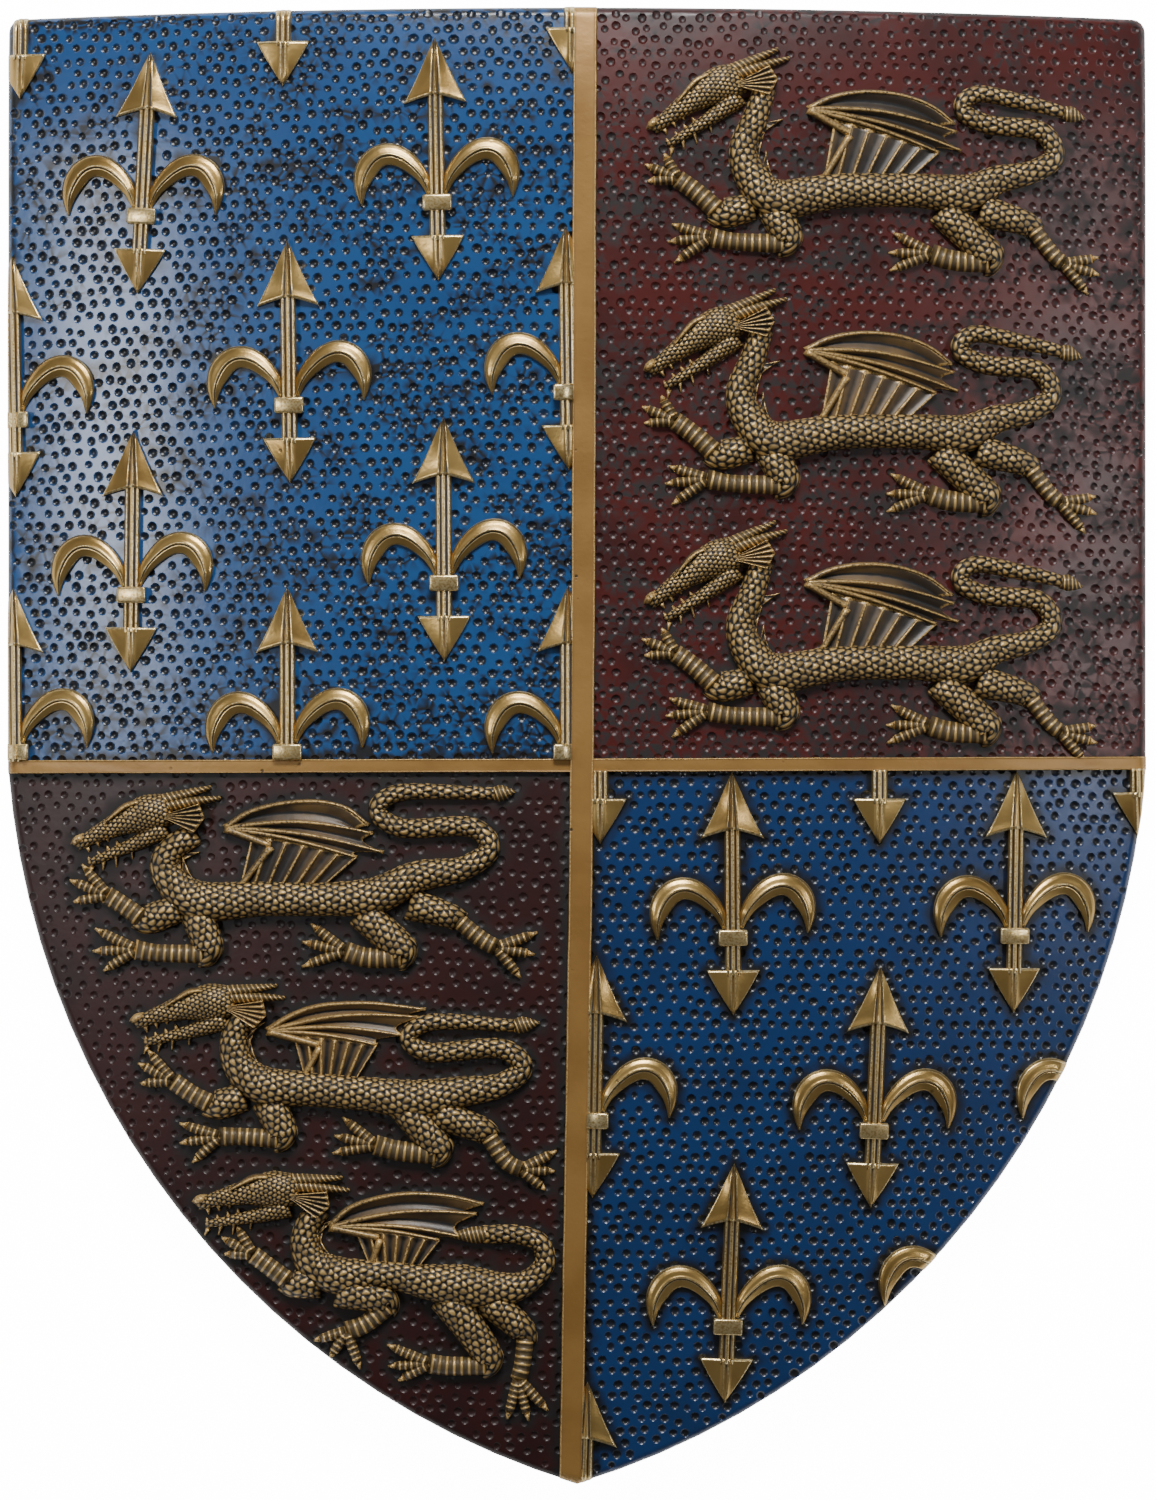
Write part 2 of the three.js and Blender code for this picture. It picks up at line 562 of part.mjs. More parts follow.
// The palm widens from the wrist, and three toes spread from it, listed clockwise about it.
function foot({ limb, toes }, place, scale) {
  const [pawX, pawY, pawWidth] = limb.at(-1);
  const aside = ([u, v], [du, dv], offset) => {
    const length = Math.hypot(du, dv);
    return [u - offset * dv / length, v + offset * du / length];
  };
  const between = ([au, av], [bu, bv]) => [(au + bu) / 2, (av + bv) / 2];
  const knuckle = ([u, v]) => [
    THREE.MathUtils.lerp(pawX, u, PALM_SHARE), THREE.MathUtils.lerp(pawY, v, PALM_SHARE)];
  const reach = toes.map(([u, v]) => [u - pawX, v - pawY]);
  const knuckles = toes.map(knuckle);
  const high = (point, halfWidth) => [...place(...point), swell(scale * halfWidth)];
  const heel = [pawX - PALM_SHARE * reach[1][0] / 3, pawY - PALM_SHARE * reach[1][1] / 3];
  const outline = [
    high(aside(heel, reach[1], -pawWidth * 0.8), TOE_ROOT),
    high(aside(knuckles[0], reach[0], -TOE_ROOT), TOE_ROOT),
    high(aside(toes[0], reach[0], -TOE_TIP), TOE_TIP),
    high(aside(toes[0], reach[0], TOE_TIP), TOE_TIP),
    high(between(knuckles[0], knuckles[1]), TOE_ROOT),
    high(aside(toes[1], reach[1], -TOE_TIP), TOE_TIP),
    high(aside(toes[1], reach[1], TOE_TIP), TOE_TIP),
    high(between(knuckles[1], knuckles[2]), TOE_ROOT),
    high(aside(toes[2], reach[2], -TOE_TIP), TOE_TIP),
    high(aside(toes[2], reach[2], TOE_TIP), TOE_TIP),
    high(aside(knuckles[2], reach[2], TOE_ROOT), TOE_ROOT),
    high(aside(heel, reach[1], pawWidth * 0.8), TOE_ROOT),
  ];
  const toeFaces = [1, 4, 7].flatMap((root) => [[root, root + 1, root + 2], [root, root + 2, root + 3]]);
  return facetedPlate(outline, [], [...toeFaces, [0, 1, 4], [0, 4, 7], [0, 7, 11], [7, 10, 11]]);
}

function dragon([x, y, pose]) {
  const scale = DRAGON_LENGTH / 100;
  const place = (u, v) => [x + u * scale, y + v * scale];
  const round = (points) => ridge(
    points.map(([u, v, halfWidth]) => [...place(u, v), scale * halfWidth, swell(scale * halfWidth)]),
    ROUND_PROFILE);
  const dip = THREE.MathUtils.degToRad(pose.dip);
  const fromEye = ([along, up, ...rest]) => [
    pose.eye[0] - along * Math.cos(dip) - up * Math.sin(dip),
    pose.eye[1] - along * Math.sin(dip) + up * Math.cos(dip),
    ...rest,
  ];
  const horn = (points) => ridge(
    points.map(fromEye).map(([u, v, halfWidth]) => [
      ...place(u, v), scale * halfWidth, WING_RELIEF + scale * halfWidth]),
    ROOF_PROFILE);
  const ear = facetedPlate(
    EAR.map(fromEye).map(([u, v]) => [...place(u, v), EAR_RELIEF]), [], [[0, 1, 2], [0, 2, 3]]);
  const [tailX, tailY, tailWidth] = pose.spine.at(-1);
  const [tipX, tipY] = pose.tailTip;
  const tailTip = ridge([
    [...place(tailX - (tipX - tailX) / 4, tailY - (tipY - tailY) / 4), scale * tailWidth * 2, TAIL_TIP_RELIEF],
    [...place(tipX, tipY), scale * TOE_TIP, DRAGON_SKIN],
  ], ROOF_PROFILE);
  const spineSteps = pose.spine.length - 4;
  return union([
    round(smoothPath(pose.spine, spineSteps)),
    tailTip,
    ...pose.legs.flatMap((leg) => [round(leg.limb), foot(leg, place, scale)]),
    wing(pose.wing, place),
    round(SKULL.map(fromEye)),
    round(JAW.map(fromEye)),
    ...HORNS.map(horn),
    ear,
  ]);
}

// Each dragon's zero point and pose.
const CHIEF_DRAGONS = [
  [20.2, 171.6, TALL_DRAGON], [19.3, 97.2, TALL_DRAGON], [19.4, 25.8, TALL_DRAGON],
];
const BASE_DRAGONS = [
  [-157.6, -45.4, LOW_DRAGON], [-137.2, -105.4, LONG_DRAGON], [-118, -163.5, CROUCHED_DRAGON],
];

// The whole casting

function casting() {
  const quarters = [
    quarterBlock(-1, 1).intersect(union(CHIEF_FLEURS.map(fleur))),
    quarterBlock(1, 1).intersect(union(CHIEF_DRAGONS.map(dragon))),
    quarterBlock(-1, -1).intersect(union(BASE_DRAGONS.map(dragon))),
    quarterBlock(1, -1).intersect(union([
      ...BASE_FLEURS.map(fleur), ...LONE_PETALS.map((spot) => petal(leaning(spot), -1))])),
  ];
  return union([bowedSlab(), ...quarters, pale(), fess()])
    .intersect(outlineBlock())
    .add(hangerPad())
    .intersect(aboveGround());
}

// Where edges nearly meet, the casting is left with facets finer than any surface. Points closer
// together than SHORTEST_EDGE become one, and the facets that this closes up go.
function withoutShortEdges(points, triangles) {
  const kept = points.map((_, i) => i);
  for (const [a, b, c] of triangles) {
    for (const [from, to] of [[a, b], [b, c], [c, a]]) {
      if (points[from].distanceTo(points[to]) < SHORTEST_EDGE) {
        const [low, high] = [Math.min(kept[from], kept[to]), Math.max(kept[from], kept[to])];
        kept.forEach((target, i) => {
          if (target === high) {
            kept[i] = low;
          }
        });
      }
    }
  }
  return triangles
    .map((corners) => corners.map((i) => kept[i]))
    .filter(([a, b, c]) => a !== b && b !== c && c !== a);
}

// A needle is as long as its neighbour's side but has next to no height: the pair is split the
// other way, from the needle's near corner to the far corner of its neighbour.
function withoutNeedles(points, triangles) {
  const side = (a, b) => `${a} ${b}`;
  const height = ([a, b, c]) => {
    const line = new THREE.Line3(points[a], points[b]);
    return line.closestPointToPoint(points[c], true, new THREE.Vector3()).distanceTo(points[c]);
  };
  const owners = new Map();
  const own = (index) => {
    const [a, b, c] = triangles[index];
    [[a, b], [b, c], [c, a]].forEach(([from, to]) => owners.set(side(from, to), index));
  };
  triangles.forEach((_, index) => own(index));
  for (let index = 0; index < triangles.length; index += 1) {
    const [a, b, c] = triangles[index];
    const turned = [[a, b, c], [b, c, a], [c, a, b]];
    const [from, to, near] = turned.reduce((best, next) => (height(next) < height(best) ? next : best));
    const beside = owners.get(side(to, from));
    const far = triangles[beside].find((corner) => corner !== from && corner !== to);
    if (height([from, to, near]) < THINNEST_FACET && !owners.has(side(near, far))) {
      owners.delete(side(from, to));
      owners.delete(side(to, from));
      triangles[index] = [from, far, near];
      triangles[beside] = [far, to, near];
      own(index);
      own(beside);
    }
  }
  return triangles;
}

function geometryOf(solid) {
  const { vertProperties, triVerts } = solid.getMesh();
  const points = [];
  for (let i = 0; i < vertProperties.length; i += 3) {
    points.push(new THREE.Vector3().fromArray(vertProperties, i));
  }
  const triangles = [];
  for (let i = 0; i < triVerts.length; i += 3) {
    triangles.push([...triVerts.slice(i, i + 3)]);
  }
  const faces = withoutNeedles(points, withoutShortEdges(points, triangles));
  const geometry = new THREE.BufferGeometry().setFromPoints(points);
  geometry.setIndex(faces.flat());
  geometry.computeVertexNormals();
  return geometry;
}

const paintedResin = new THREE.MeshStandardMaterial({ color: 0x2a5a86, roughness: 0.5, metalness: 0.1 });
const shield = new THREE.Mesh(geometryOf(casting()), paintedResin);
shield.name = 'shield';

const part = new THREE.Group();
part.add(shield);

export default part;
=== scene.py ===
"""The looks of a heraldic wall shield: hammered quarters of fleurs-de-lis and of walking dragons.

Everything is designed in plan, in millimetres over a flat ground, then laid on the bowed ground.
"""

from __future__ import annotations

import logging
import math
import random
from dataclasses import dataclass, field
from enum import Enum
from typing import Callable, Iterable, Optional, Sequence

import bmesh
import bpy
import numpy as np
from mathutils import Matrix, Vector
from mathutils.bvhtree import BVHTree

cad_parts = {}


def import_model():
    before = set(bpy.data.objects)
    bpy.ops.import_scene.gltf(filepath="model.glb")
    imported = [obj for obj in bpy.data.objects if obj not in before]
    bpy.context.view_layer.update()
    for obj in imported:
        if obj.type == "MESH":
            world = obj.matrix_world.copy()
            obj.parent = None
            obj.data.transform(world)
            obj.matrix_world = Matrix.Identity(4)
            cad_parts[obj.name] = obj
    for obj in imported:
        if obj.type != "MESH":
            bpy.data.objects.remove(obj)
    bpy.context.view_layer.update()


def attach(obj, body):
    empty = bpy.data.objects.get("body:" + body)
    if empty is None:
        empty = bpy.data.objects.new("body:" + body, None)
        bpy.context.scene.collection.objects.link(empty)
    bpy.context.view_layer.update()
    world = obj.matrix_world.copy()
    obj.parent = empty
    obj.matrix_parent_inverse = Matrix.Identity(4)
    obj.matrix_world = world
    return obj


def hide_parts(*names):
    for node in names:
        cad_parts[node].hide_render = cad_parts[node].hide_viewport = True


LOG = logging.getLogger("shield")

MM = 0.001
BODY = "root"
NODE = "shield"
ROOT_DEPTH = 1.6
PLANE_GAP = 1e-4
FLAT_GAP = 1e-3
COVER_MARKS = ("cover_along", "cover_across", "cover_kind")
CHARGE_INSET = 0.06
BAND_OVERRUN = 4
UNDER_PALE = 0.5
UNDER_FESS = 0.4
FIELD_INSET = 0.15
BUMP_HEIGHT = 0.0004
LOOKS_DOWN = -0.3

Point = tuple[float, float]
Station = tuple[float, float, float]
Profile = Callable[[float, float], float]
Cut = tuple[Point, Point]
Mesh = bmesh.types.BMesh
Vert = bmesh.types.BMVert
Edge = bmesh.types.BMEdge
Face = bmesh.types.BMFace
Socket = bpy.types.NodeSocket
Tree = bpy.types.NodeTree


# ---- the ground


@dataclass(frozen=True)
class Ground:
    """The bowed wall that everything lies on: its outline, and its height at every place."""

    height: float = 457.0
    width: float = 356.0
    straight_side: float = 235.0
    side_turn: float = math.radians(4.5)
    corner_radius: float = 4.0
    wall: float = 10.0
    bow: float = 38.0
    edge_rise: float = 8.0
    edge_round: float = 2.5
    top_roll_drop: float = 4.0
    top_roll_length: float = 45.0
    tip_drop: float = 25.0
    tip_bend_start: float = 10.0
    arc_steps: int = 22
    corner_steps: int = 4

    def level(self, x: np.ndarray, y: np.ndarray) -> np.ndarray:
        """The height of the ground.

        Args:
            x: places across, in mm.
            y: places up the shield, in mm.

        Returns:
            The ground's height over the floor at each place, in mm.
        """
        half = self.width / 2
        radius = (half**2 + self.bow**2) / (2 * self.bow)
        arch = radius - np.sqrt(np.maximum(radius**2 - x**2, 1.0))
        roll = np.maximum(0, (y - (self.height / 2 - self.top_roll_length)) / self.top_roll_length)
        bend = np.maximum(0, (self.tip_bend_start - y) / (self.tip_bend_start + self.height / 2))
        return (
            self.edge_rise
            + self.bow
            - arch
            - self.top_roll_drop * roll**2
            - self.tip_drop * bend**2
        )

    def outline(self, inset: float = 0.0) -> list[Point]:
        """The outline, counter-clockwise from the tip.

        Args:
            inset: how far inside the edge the line runs, in mm.

        Returns:
            The corners of the line.
        """
        half = self.width / 2
        top = self.height / 2
        drop = self.height - self.straight_side
        chord = math.hypot(half, drop)
        turn = math.atan2(half, drop) - self.side_turn
        radius = chord / (2 * math.sin(turn))
        shoulder = top - self.straight_side
        centre = (
            radius * math.cos(self.side_turn) - half,
            shoulder + radius * math.sin(self.side_turn),
        )
        right: list[Point] = []
        for i in range(self.arc_steps):
            angle = self.side_turn + 2 * turn * (1 - i / self.arc_steps)
            right.append(
                (radius * math.cos(angle) - centre[0], centre[1] - radius * math.sin(angle))
            )
        right.append((half, shoulder))
        for i in range(self.corner_steps + 1):
            angle = math.pi / 2 * i / self.corner_steps
            right.append(
                (
                    half - self.corner_radius * (1 - math.cos(angle)),
                    top - self.corner_radius * (1 - math.sin(angle)),
                )
            )
        line = right + [(-x, y) for x, y in reversed(right[1:])]
        return drawn_in(line, inset) if inset else line

    def depth_inside(self, x: np.ndarray, y: np.ndarray) -> np.ndarray:
        """How far each place lies inside the outline, in mm; it is below 0 outside.

        Args:
            x: places across, in mm.
            y: places up the shield, in mm.

        Returns:
            The distance inwards from the outline at each place.
        """
        line = self.outline()
        deep = np.full(np.shape(x), 1e9)
        for (ax, ay), (bx, by) in zip(line, line[1:] + line[:1]):
            length = math.hypot(bx - ax, by - ay)
            deep = np.minimum(deep, ((bx - ax) * (y - ay) - (by - ay) * (x - ax)) / length)
        return deep

    def edge_fall(self, x: np.ndarray, y: np.ndarray) -> np.ndarray:
        """How far the rounding of the front edge lowers each place, in mm."""
        deep = np.clip(self.depth_inside(x, y), 0, self.edge_round)
        return self.edge_round - np.sqrt(self.edge_round**2 - (self.edge_round - deep) ** 2)


def drawn_in(line: Sequence[Point], inset: float) -> list[Point]:
    """A closed counter-clockwise line moved inwards, each corner along its bisector.

    Args:
        line: the line's corners.
        inset: how far it moves, in mm.

    Returns:
        The corners of the moved line.
    """
    moved = []
    for i, (x, y) in enumerate(line):
        before = Vector(line[i - 1])
        after = Vector(line[(i + 1) % len(line)])
        here = Vector((x, y))
        into = (here - before).normalized()
        out = (after - here).normalized()
        first = Vector((-into.y, into.x))
        second = Vector((-out.y, out.x))
        bisector = (first + second).normalized()
        step = inset / bisector.dot(first)
        moved.append((x + bisector.x * step, y + bisector.y * step))
    return moved


GROUND = Ground()


@dataclass(frozen=True)
class BandLines:
    """Where the two bands between the quarters run."""

    pale_width: float = 7.4
    pale_relief: float = 2.0
    pale_x_at_top: float = 2.5
    pale_x_at_fess: float = 1.5
    pale_x_at_tip: float = -1.9
    fess_width: float = 4.2
    fess_relief: float = 1.5
    fess_y_left: float = -5.6
    fess_y_right: float = -4.4

    @property
    def crossing(self) -> float:
        """The height at which the two bands cross, in mm."""
        return (self.fess_y_left + self.fess_y_right) / 2

    def pale_x(self, y: float) -> float:
        """The middle of the upright band at a height.

        Args:
            y: a height on the shield, in mm.

        Returns:
            How far right of the middle the band runs there, in mm.
        """
        top = GROUND.height / 2
        if y > self.crossing:
            share = (y - self.crossing) / (top - self.crossing)
            return self.pale_x_at_fess + (self.pale_x_at_top - self.pale_x_at_fess) * share
        share = (y + top) / (self.crossing + top)
        return self.pale_x_at_tip + (self.pale_x_at_fess - self.pale_x_at_tip) * share

    def fess_y(self, x: float) -> float:
        """The middle of the level band at a place across."""
        share = x / GROUND.width + 0.5
        return self.fess_y_left + (self.fess_y_right - self.fess_y_left) * share


BANDS = BandLines()


class Quarter(Enum):
    """The four quarters: which side of the upright band, and above or below the level one."""

    CHIEF_LEFT = (-1, 1)
    CHIEF_RIGHT = (1, 1)
    BASE_LEFT = (-1, -1)
    BASE_RIGHT = (1, -1)

    @property
    def label(self) -> str:
        """The quarter's name in the names of pieces."""
        return self.name.lower()

    def cuts(self, pale_gap: float, fess_gap: float) -> list[Cut]:
        """The lines along the bands that bound the quarter.

        Args:
            pale_gap: how far from the upright band's middle the cut runs, in mm.
            fess_gap: the same for the level band.

        Returns:
            A point and an outward direction for each line.
        """
        side, rise = self.value
        far = GROUND.height / 2 * rise
        low = Vector((BANDS.pale_x(BANDS.crossing), BANDS.crossing))
        high = Vector((BANDS.pale_x(far), far))
        along = (high - low).normalized()
        normal = Vector((along.y, -along.x))
        if normal.x * side > 0:
            normal = -normal
        start = low - normal * pale_gap
        level = Vector((GROUND.width, BANDS.fess_y_right - BANDS.fess_y_left)).normalized()
        upright = Vector((-level.y, level.x)) * -rise
        middle = Vector((0.0, BANDS.fess_y(0.0))) - upright * fess_gap
        return [(tuple(start), tuple(normal)), (tuple(middle), tuple(upright))]


def outline_cuts(inset: float) -> list[Cut]:
    """The straight cuts that make the outline.

    Args:
        inset: how far inside the outline they run, in mm.

    Returns:
        A point and an outward direction for each.
    """
    line = GROUND.outline(inset)
    cuts = []
    for (ax, ay), (bx, by) in zip(line, line[1:] + line[:1]):
        length = math.hypot(bx - ax, by - ay)
        cuts.append(((ax, ay), ((by - ay) / length, -(bx - ax) / length)))
    return cuts


def charge_cuts(quarter: Quarter) -> list[Cut]:
    """The cuts that end a quarter's charges.

    Args:
        quarter: the quarter that they stand on.

    Returns:
        The cuts just under the two bands, and those along the outline.
    """
    pale_gap = BANDS.pale_width / 2 - UNDER_PALE
    fess_gap = BANDS.fess_width / 2 - UNDER_FESS
    return quarter.cuts(pale_gap, fess_gap) + outline_cuts(CHARGE_INSET)


def plan_of(bm: Mesh) -> np.ndarray:
    """Where a mesh's vertices stand in plan."""
    return np.array([v.co[:2] for v in bm.verts]).reshape(-1, 2)


def reaches(spots: np.ndarray, point: Point, outward: Point) -> bool:
    """Whether any place lies beyond an upright plane.

    Args:
        spots: places in plan, in mm.
        point: a point on the plane.
        outward: its outward direction.

    Returns:
        True where at least one place lies beyond it.
    """
    if not len(spots):
        return False
    out = np.array(outward)
    return bool((spots @ out).max() > np.dot(point, out) + PLANE_GAP)


def faces_beyond(bm: Mesh, point: Point, outward: Point) -> Optional[list]:
    """Find what an upright plane may cut.

    Args:
        bm: the mesh.
        point: a point on the plane.
        outward: its outward direction.

    Returns:
        The faces, edges and vertices beyond and across the plane, or None where all lie beyond.
    """
    (px, py), (nx, ny) = point, outward
    beyond = [v for v in bm.verts if (v.co.x - px) * nx + (v.co.y - py) * ny > PLANE_GAP]
    if len(beyond) == len(bm.verts):
        return None
    near = {f for v in beyond for f in v.link_faces}
    edges = {e for f in near for e in f.edges}
    return list(near) + list(edges) + list({v for f in near for v in f.verts})


def cut_away(bm: Mesh, cuts: Iterable[Cut], fill: bool) -> None:
    """Take off what lies beyond each of some upright planes.

    Args:
        bm: the mesh to cut.
        cuts: a point and an outward direction for each plane.
        fill: whether the cuts are closed over.
    """
    spots = plan_of(bm)
    for (px, py), (nx, ny) in cuts:
        if not reaches(spots, (px, py), (nx, ny)):
            continue
        geom = faces_beyond(bm, (px, py), (nx, ny))
        if geom is None:
            bm.clear()
            return
        bmesh.ops.bisect_plane(
            bm, geom=geom, dist=PLANE_GAP, plane_co=(px, py, 0), plane_no=(nx, ny, 0),
            clear_outer=True,
        )
        spots = plan_of(bm)
        if fill:
            rims = [e for e in bm.edges if e.is_boundary]
            bmesh.ops.holes_fill(bm, edges=rims, sides=0)


def score(bm: Mesh, cuts: Iterable[Cut]) -> None:
    """Divide the faces that some upright planes cross, taking nothing off.

    Args:
        bm: the mesh to divide.
        cuts: a point and an outward direction for each plane.
    """
    spots = plan_of(bm)
    for (px, py), (nx, ny) in cuts:
        if not reaches(spots, (px, py), (nx, ny)):
            continue
        geom = faces_beyond(bm, (px, py), (nx, ny)) or []
        bmesh.ops.bisect_plane(
            bm, geom=geom, dist=PLANE_GAP, plane_co=(px, py, 0), plane_no=(nx, ny, 0)
        )


def split_in_cells(
    bm: Mesh, faces: list[Face], cell: float, shift: float
) -> None:
    """Divide a flat filling into square cells, so that it can bow.

    Args:
        bm: the mesh that it is part of.
        faces: the filling's faces.
        cell: the width of a cell, in mm.
        shift: how far the cuts stand aside of the middle lines, clear of other corners, in mm.
    """
    verts = list({v for f in faces for v in f.verts})
    parts = faces + verts + list({e for f in faces for e in f.edges})
    for axis, reach in ((0, GROUND.width / 2), (1, GROUND.height / 2)):
        count = int(reach / cell)
        for i in range(-count, count + 1):
            spot = [0.0, 0.0, 0.0]
            spot[axis] = i * cell + shift
            normal = [0.0, 0.0, 0.0]
            normal[axis] = 1.0
            parts = bmesh.ops.bisect_plane(
                bm, geom=parts, dist=PLANE_GAP, plane_co=spot, plane_no=normal
            )["geom"]


# ---- shaping in plan


def grid(bm: Mesh, columns: int, rows: int) -> list[list[Vert]]:
    """A new grid in a mesh, to be shaped.

    Args:
        bm: the mesh it is added to.
        columns: how many cells it has across.
        rows: how many cells it has up.

    Returns:
        Its vertices, row by row.
    """
    made = bmesh.ops.create_grid(bm, x_segments=columns, y_segments=rows, size=0.5)
    verts = sorted(made["verts"], key=lambda v: (round(v.co.y * rows * 4), v.co.x))
    wide = columns + 1
    return [verts[i * wide : (i + 1) * wide] for i in range(rows + 1)]


@dataclass(frozen=True)
class Path:
    """A smooth line through points in plan, with a half width all along."""

    points: tuple[Station, ...]

    def sampled(self, step: float, least: int = 2) -> list[tuple[Vector, Vector, float, float]]:
        """Even stations along the line.

        Args:
            step: the distance from one station to the next, in mm.
            least: the fewest spaces between stations.

        Returns:
            For each station its place, its heading, its half width and its distance along.
        """
        fine = self._curve(16)
        gaps = np.linalg.norm(np.diff(fine[:, :2], axis=0), axis=1)
        run = np.concatenate([[0.0], np.cumsum(gaps)])
        count = max(least, int(round(run[-1] / step)))
        wanted = np.linspace(0, run[-1], count + 1)
        even = np.stack([np.interp(wanted, run, fine[:, k]) for k in range(3)], axis=1)
        headings = np.gradient(even[:, :2], axis=0)
        return [
            (Vector(spot[:2]), Vector(heading).normalized(), float(spot[2]), float(run))
            for spot, heading, run in zip(even, headings, wanted)
        ]

    def _curve(self, per_span: int) -> np.ndarray:
        """The line as a centripetal curve of many short steps.

        Args:
            per_span: how many steps each span has.

        Returns:
            The places and half widths of the steps, a row for each.
        """
        p = np.array(self.points, float)
        if len(p) == 2:
            return np.linspace(p[0], p[1], per_span + 1)
        p = np.vstack([2 * p[0] - p[1], p, 2 * p[-1] - p[-2]])
        out = []
        for i in range(1, len(p) - 2):
            a, b, c, d = p[i - 1], p[i], p[i + 1], p[i + 2]
            knots = [0.0]
            for q, r in ((a, b), (b, c), (c, d)):
                knots.append(knots[-1] + max(float(np.linalg.norm(r[:2] - q[:2])), 1e-6) ** 0.5)
            t0, t1, t2, t3 = knots
            for s in np.linspace(t1, t2, per_span, endpoint=False):
                l1 = a * (t1 - s) / (t1 - t0) + b * (s - t0) / (t1 - t0)
                l2 = b * (t2 - s) / (t2 - t1) + c * (s - t1) / (t2 - t1)
                l3 = c * (t3 - s) / (t3 - t2) + d * (s - t2) / (t3 - t2)
                m1 = l1 * (t2 - s) / (t2 - t0) + l2 * (s - t0) / (t2 - t0)
                m2 = l2 * (t3 - s) / (t3 - t1) + l3 * (s - t1) / (t3 - t1)
                out.append(m1 * (t2 - s) / (t2 - t1) + m2 * (s - t1) / (t2 - t1))
        out.append(p[-2])
        return np.array(out)


@dataclass(frozen=True)
class Ridge:
    """A relief that runs along a path: its surface over the ground, closed underneath."""

    path: Path
    relief: Profile
    step: float = 1.0
    columns: int = 12
    smoothing: int = 0
    marks: Optional[Callable[[float, float], Station]] = None

    def build(self, bm: Mesh) -> None:
        """Add the ridge to a mesh.

        The relief gives a height from the share across, -1 to 1 with 1 on the left of the
        heading, and from the distance along in mm.

        Args:
            bm: the mesh it is added to.
        """
        stations = self.path.sampled(self.step)
        rows = grid(bm, self.columns + 2, len(stations) - 1)
        lefts, rights = self._edges(stations)
        for row, left, right, (_, _, _, run) in zip(rows, lefts, rights, stations):
            for j, vert in enumerate(row):
                share = max(-1.0, min(1.0, 1.0 - 2.0 * (j - 1) / self.columns))
                low = j == 0 or j == self.columns + 2
                x, y = right + (left - right) * ((share + 1) / 2)
                vert.co = (x, y, -ROOT_DEPTH if low else self.relief(share, run))
                if self.marks:
                    for name, value in zip(COVER_MARKS, self.marks(share, run)):
                        vert[bm.verts.layers.float[name]] = value
        self._close(bm, rows)

    def _edges(
        self, stations: Sequence[tuple[Vector, Vector, float, float]]
    ) -> tuple[np.ndarray, np.ndarray]:
        """The two edges of the ridge, smoothed so that no bend folds them over.

        Args:
            stations: the path's even stations.

        Returns:
            The places of its left and its right edge.
        """
        middle = np.array([s[0] for s in stations])
        aside = np.array([(-s[1].y * s[2], s[1].x * s[2]) for s in stations])
        edges = []
        for line in (middle + aside, middle - aside):
            for _ in range(self.smoothing):
                line[1:-1] = line[1:-1] * 0.5 + (line[:-2] + line[2:]) * 0.25
            edges.append(line)
        return edges[0], edges[1]

    @staticmethod
    def _close(bm: Mesh, rows: list[list[Vert]]) -> None:
        """Close the ridge underneath and at its ends.

        Args:
            bm: the mesh.
            rows: its vertices, row by row along the path.
        """
        left = [bm.edges.get((a[0], b[0])) for a, b in zip(rows, rows[1:])]
        right = [bm.edges.get((a[-1], b[-1])) for a, b in zip(rows, rows[1:])]
        bmesh.ops.bridge_loops(bm, edges=left + right)
        for row in (rows[0], rows[-1]):
            bmesh.ops.contextual_create(bm, geom=row)


def plate(
    bm: Mesh, columns: int, rows: int, shape: Callable[[float, float], Station]
) -> None:
    """Add a raised plate: a shaped top, walls down to its root, and a flat underside.

    Args:
        bm: the mesh it is added to.
        columns: how many cells the top has across.
        rows: how many cells it has up.
        shape: gives a place and a height from the shares across and up, both 0 to 1.
    """
    lines = grid(bm, columns, rows)
    for j, line in enumerate(lines):
        for i, vert in enumerate(line):
            vert.co = shape(i / columns, j / rows)
    faces = list({f for line in lines for v in line for f in v.link_faces})
    rim = [e for e in {e for f in faces for e in f.edges} if e.is_boundary]
    walls = bmesh.ops.extrude_edge_only(bm, edges=rim)["geom"]
    low = [v for v in walls if isinstance(v, Vert)]
    for vert in low:
        vert.co.z = -ROOT_DEPTH
    floor = [e for e in walls if isinstance(e, Edge) and e.is_boundary]
    bmesh.ops.contextual_create(bm, geom=floor)


def dome(share: float, power: float = 2.0) -> float:
    """The rounded section of a limb: 1 in the middle, 0 at either side."""
    return math.sqrt(max(0.0, 1 - abs(share) ** power))


def table_of(rows: Sequence[Point]) -> Callable[[float], float]:
    """A section through listed points.

    Args:
        rows: places and values, the places rising.

    Returns:
        The value at any place, in a straight line between the listed ones.
    """

    def read(place: float) -> float:
        """The value at a place."""
        if place <= rows[0][0]:
            return rows[0][1]
        for (a, low), (b, high) in zip(rows, rows[1:]):
            if place <= b:
                return low + (high - low) * (place - a) / (b - a)
        return rows[-1][1]

    return read


# ---- finishes


class Sockets(Enum):
    """The kinds of socket that the shared effects have."""

    VALUE = "NodeSocketFloat"
    COLOUR = "NodeSocketColor"
    VECTOR = "NodeSocketVector"


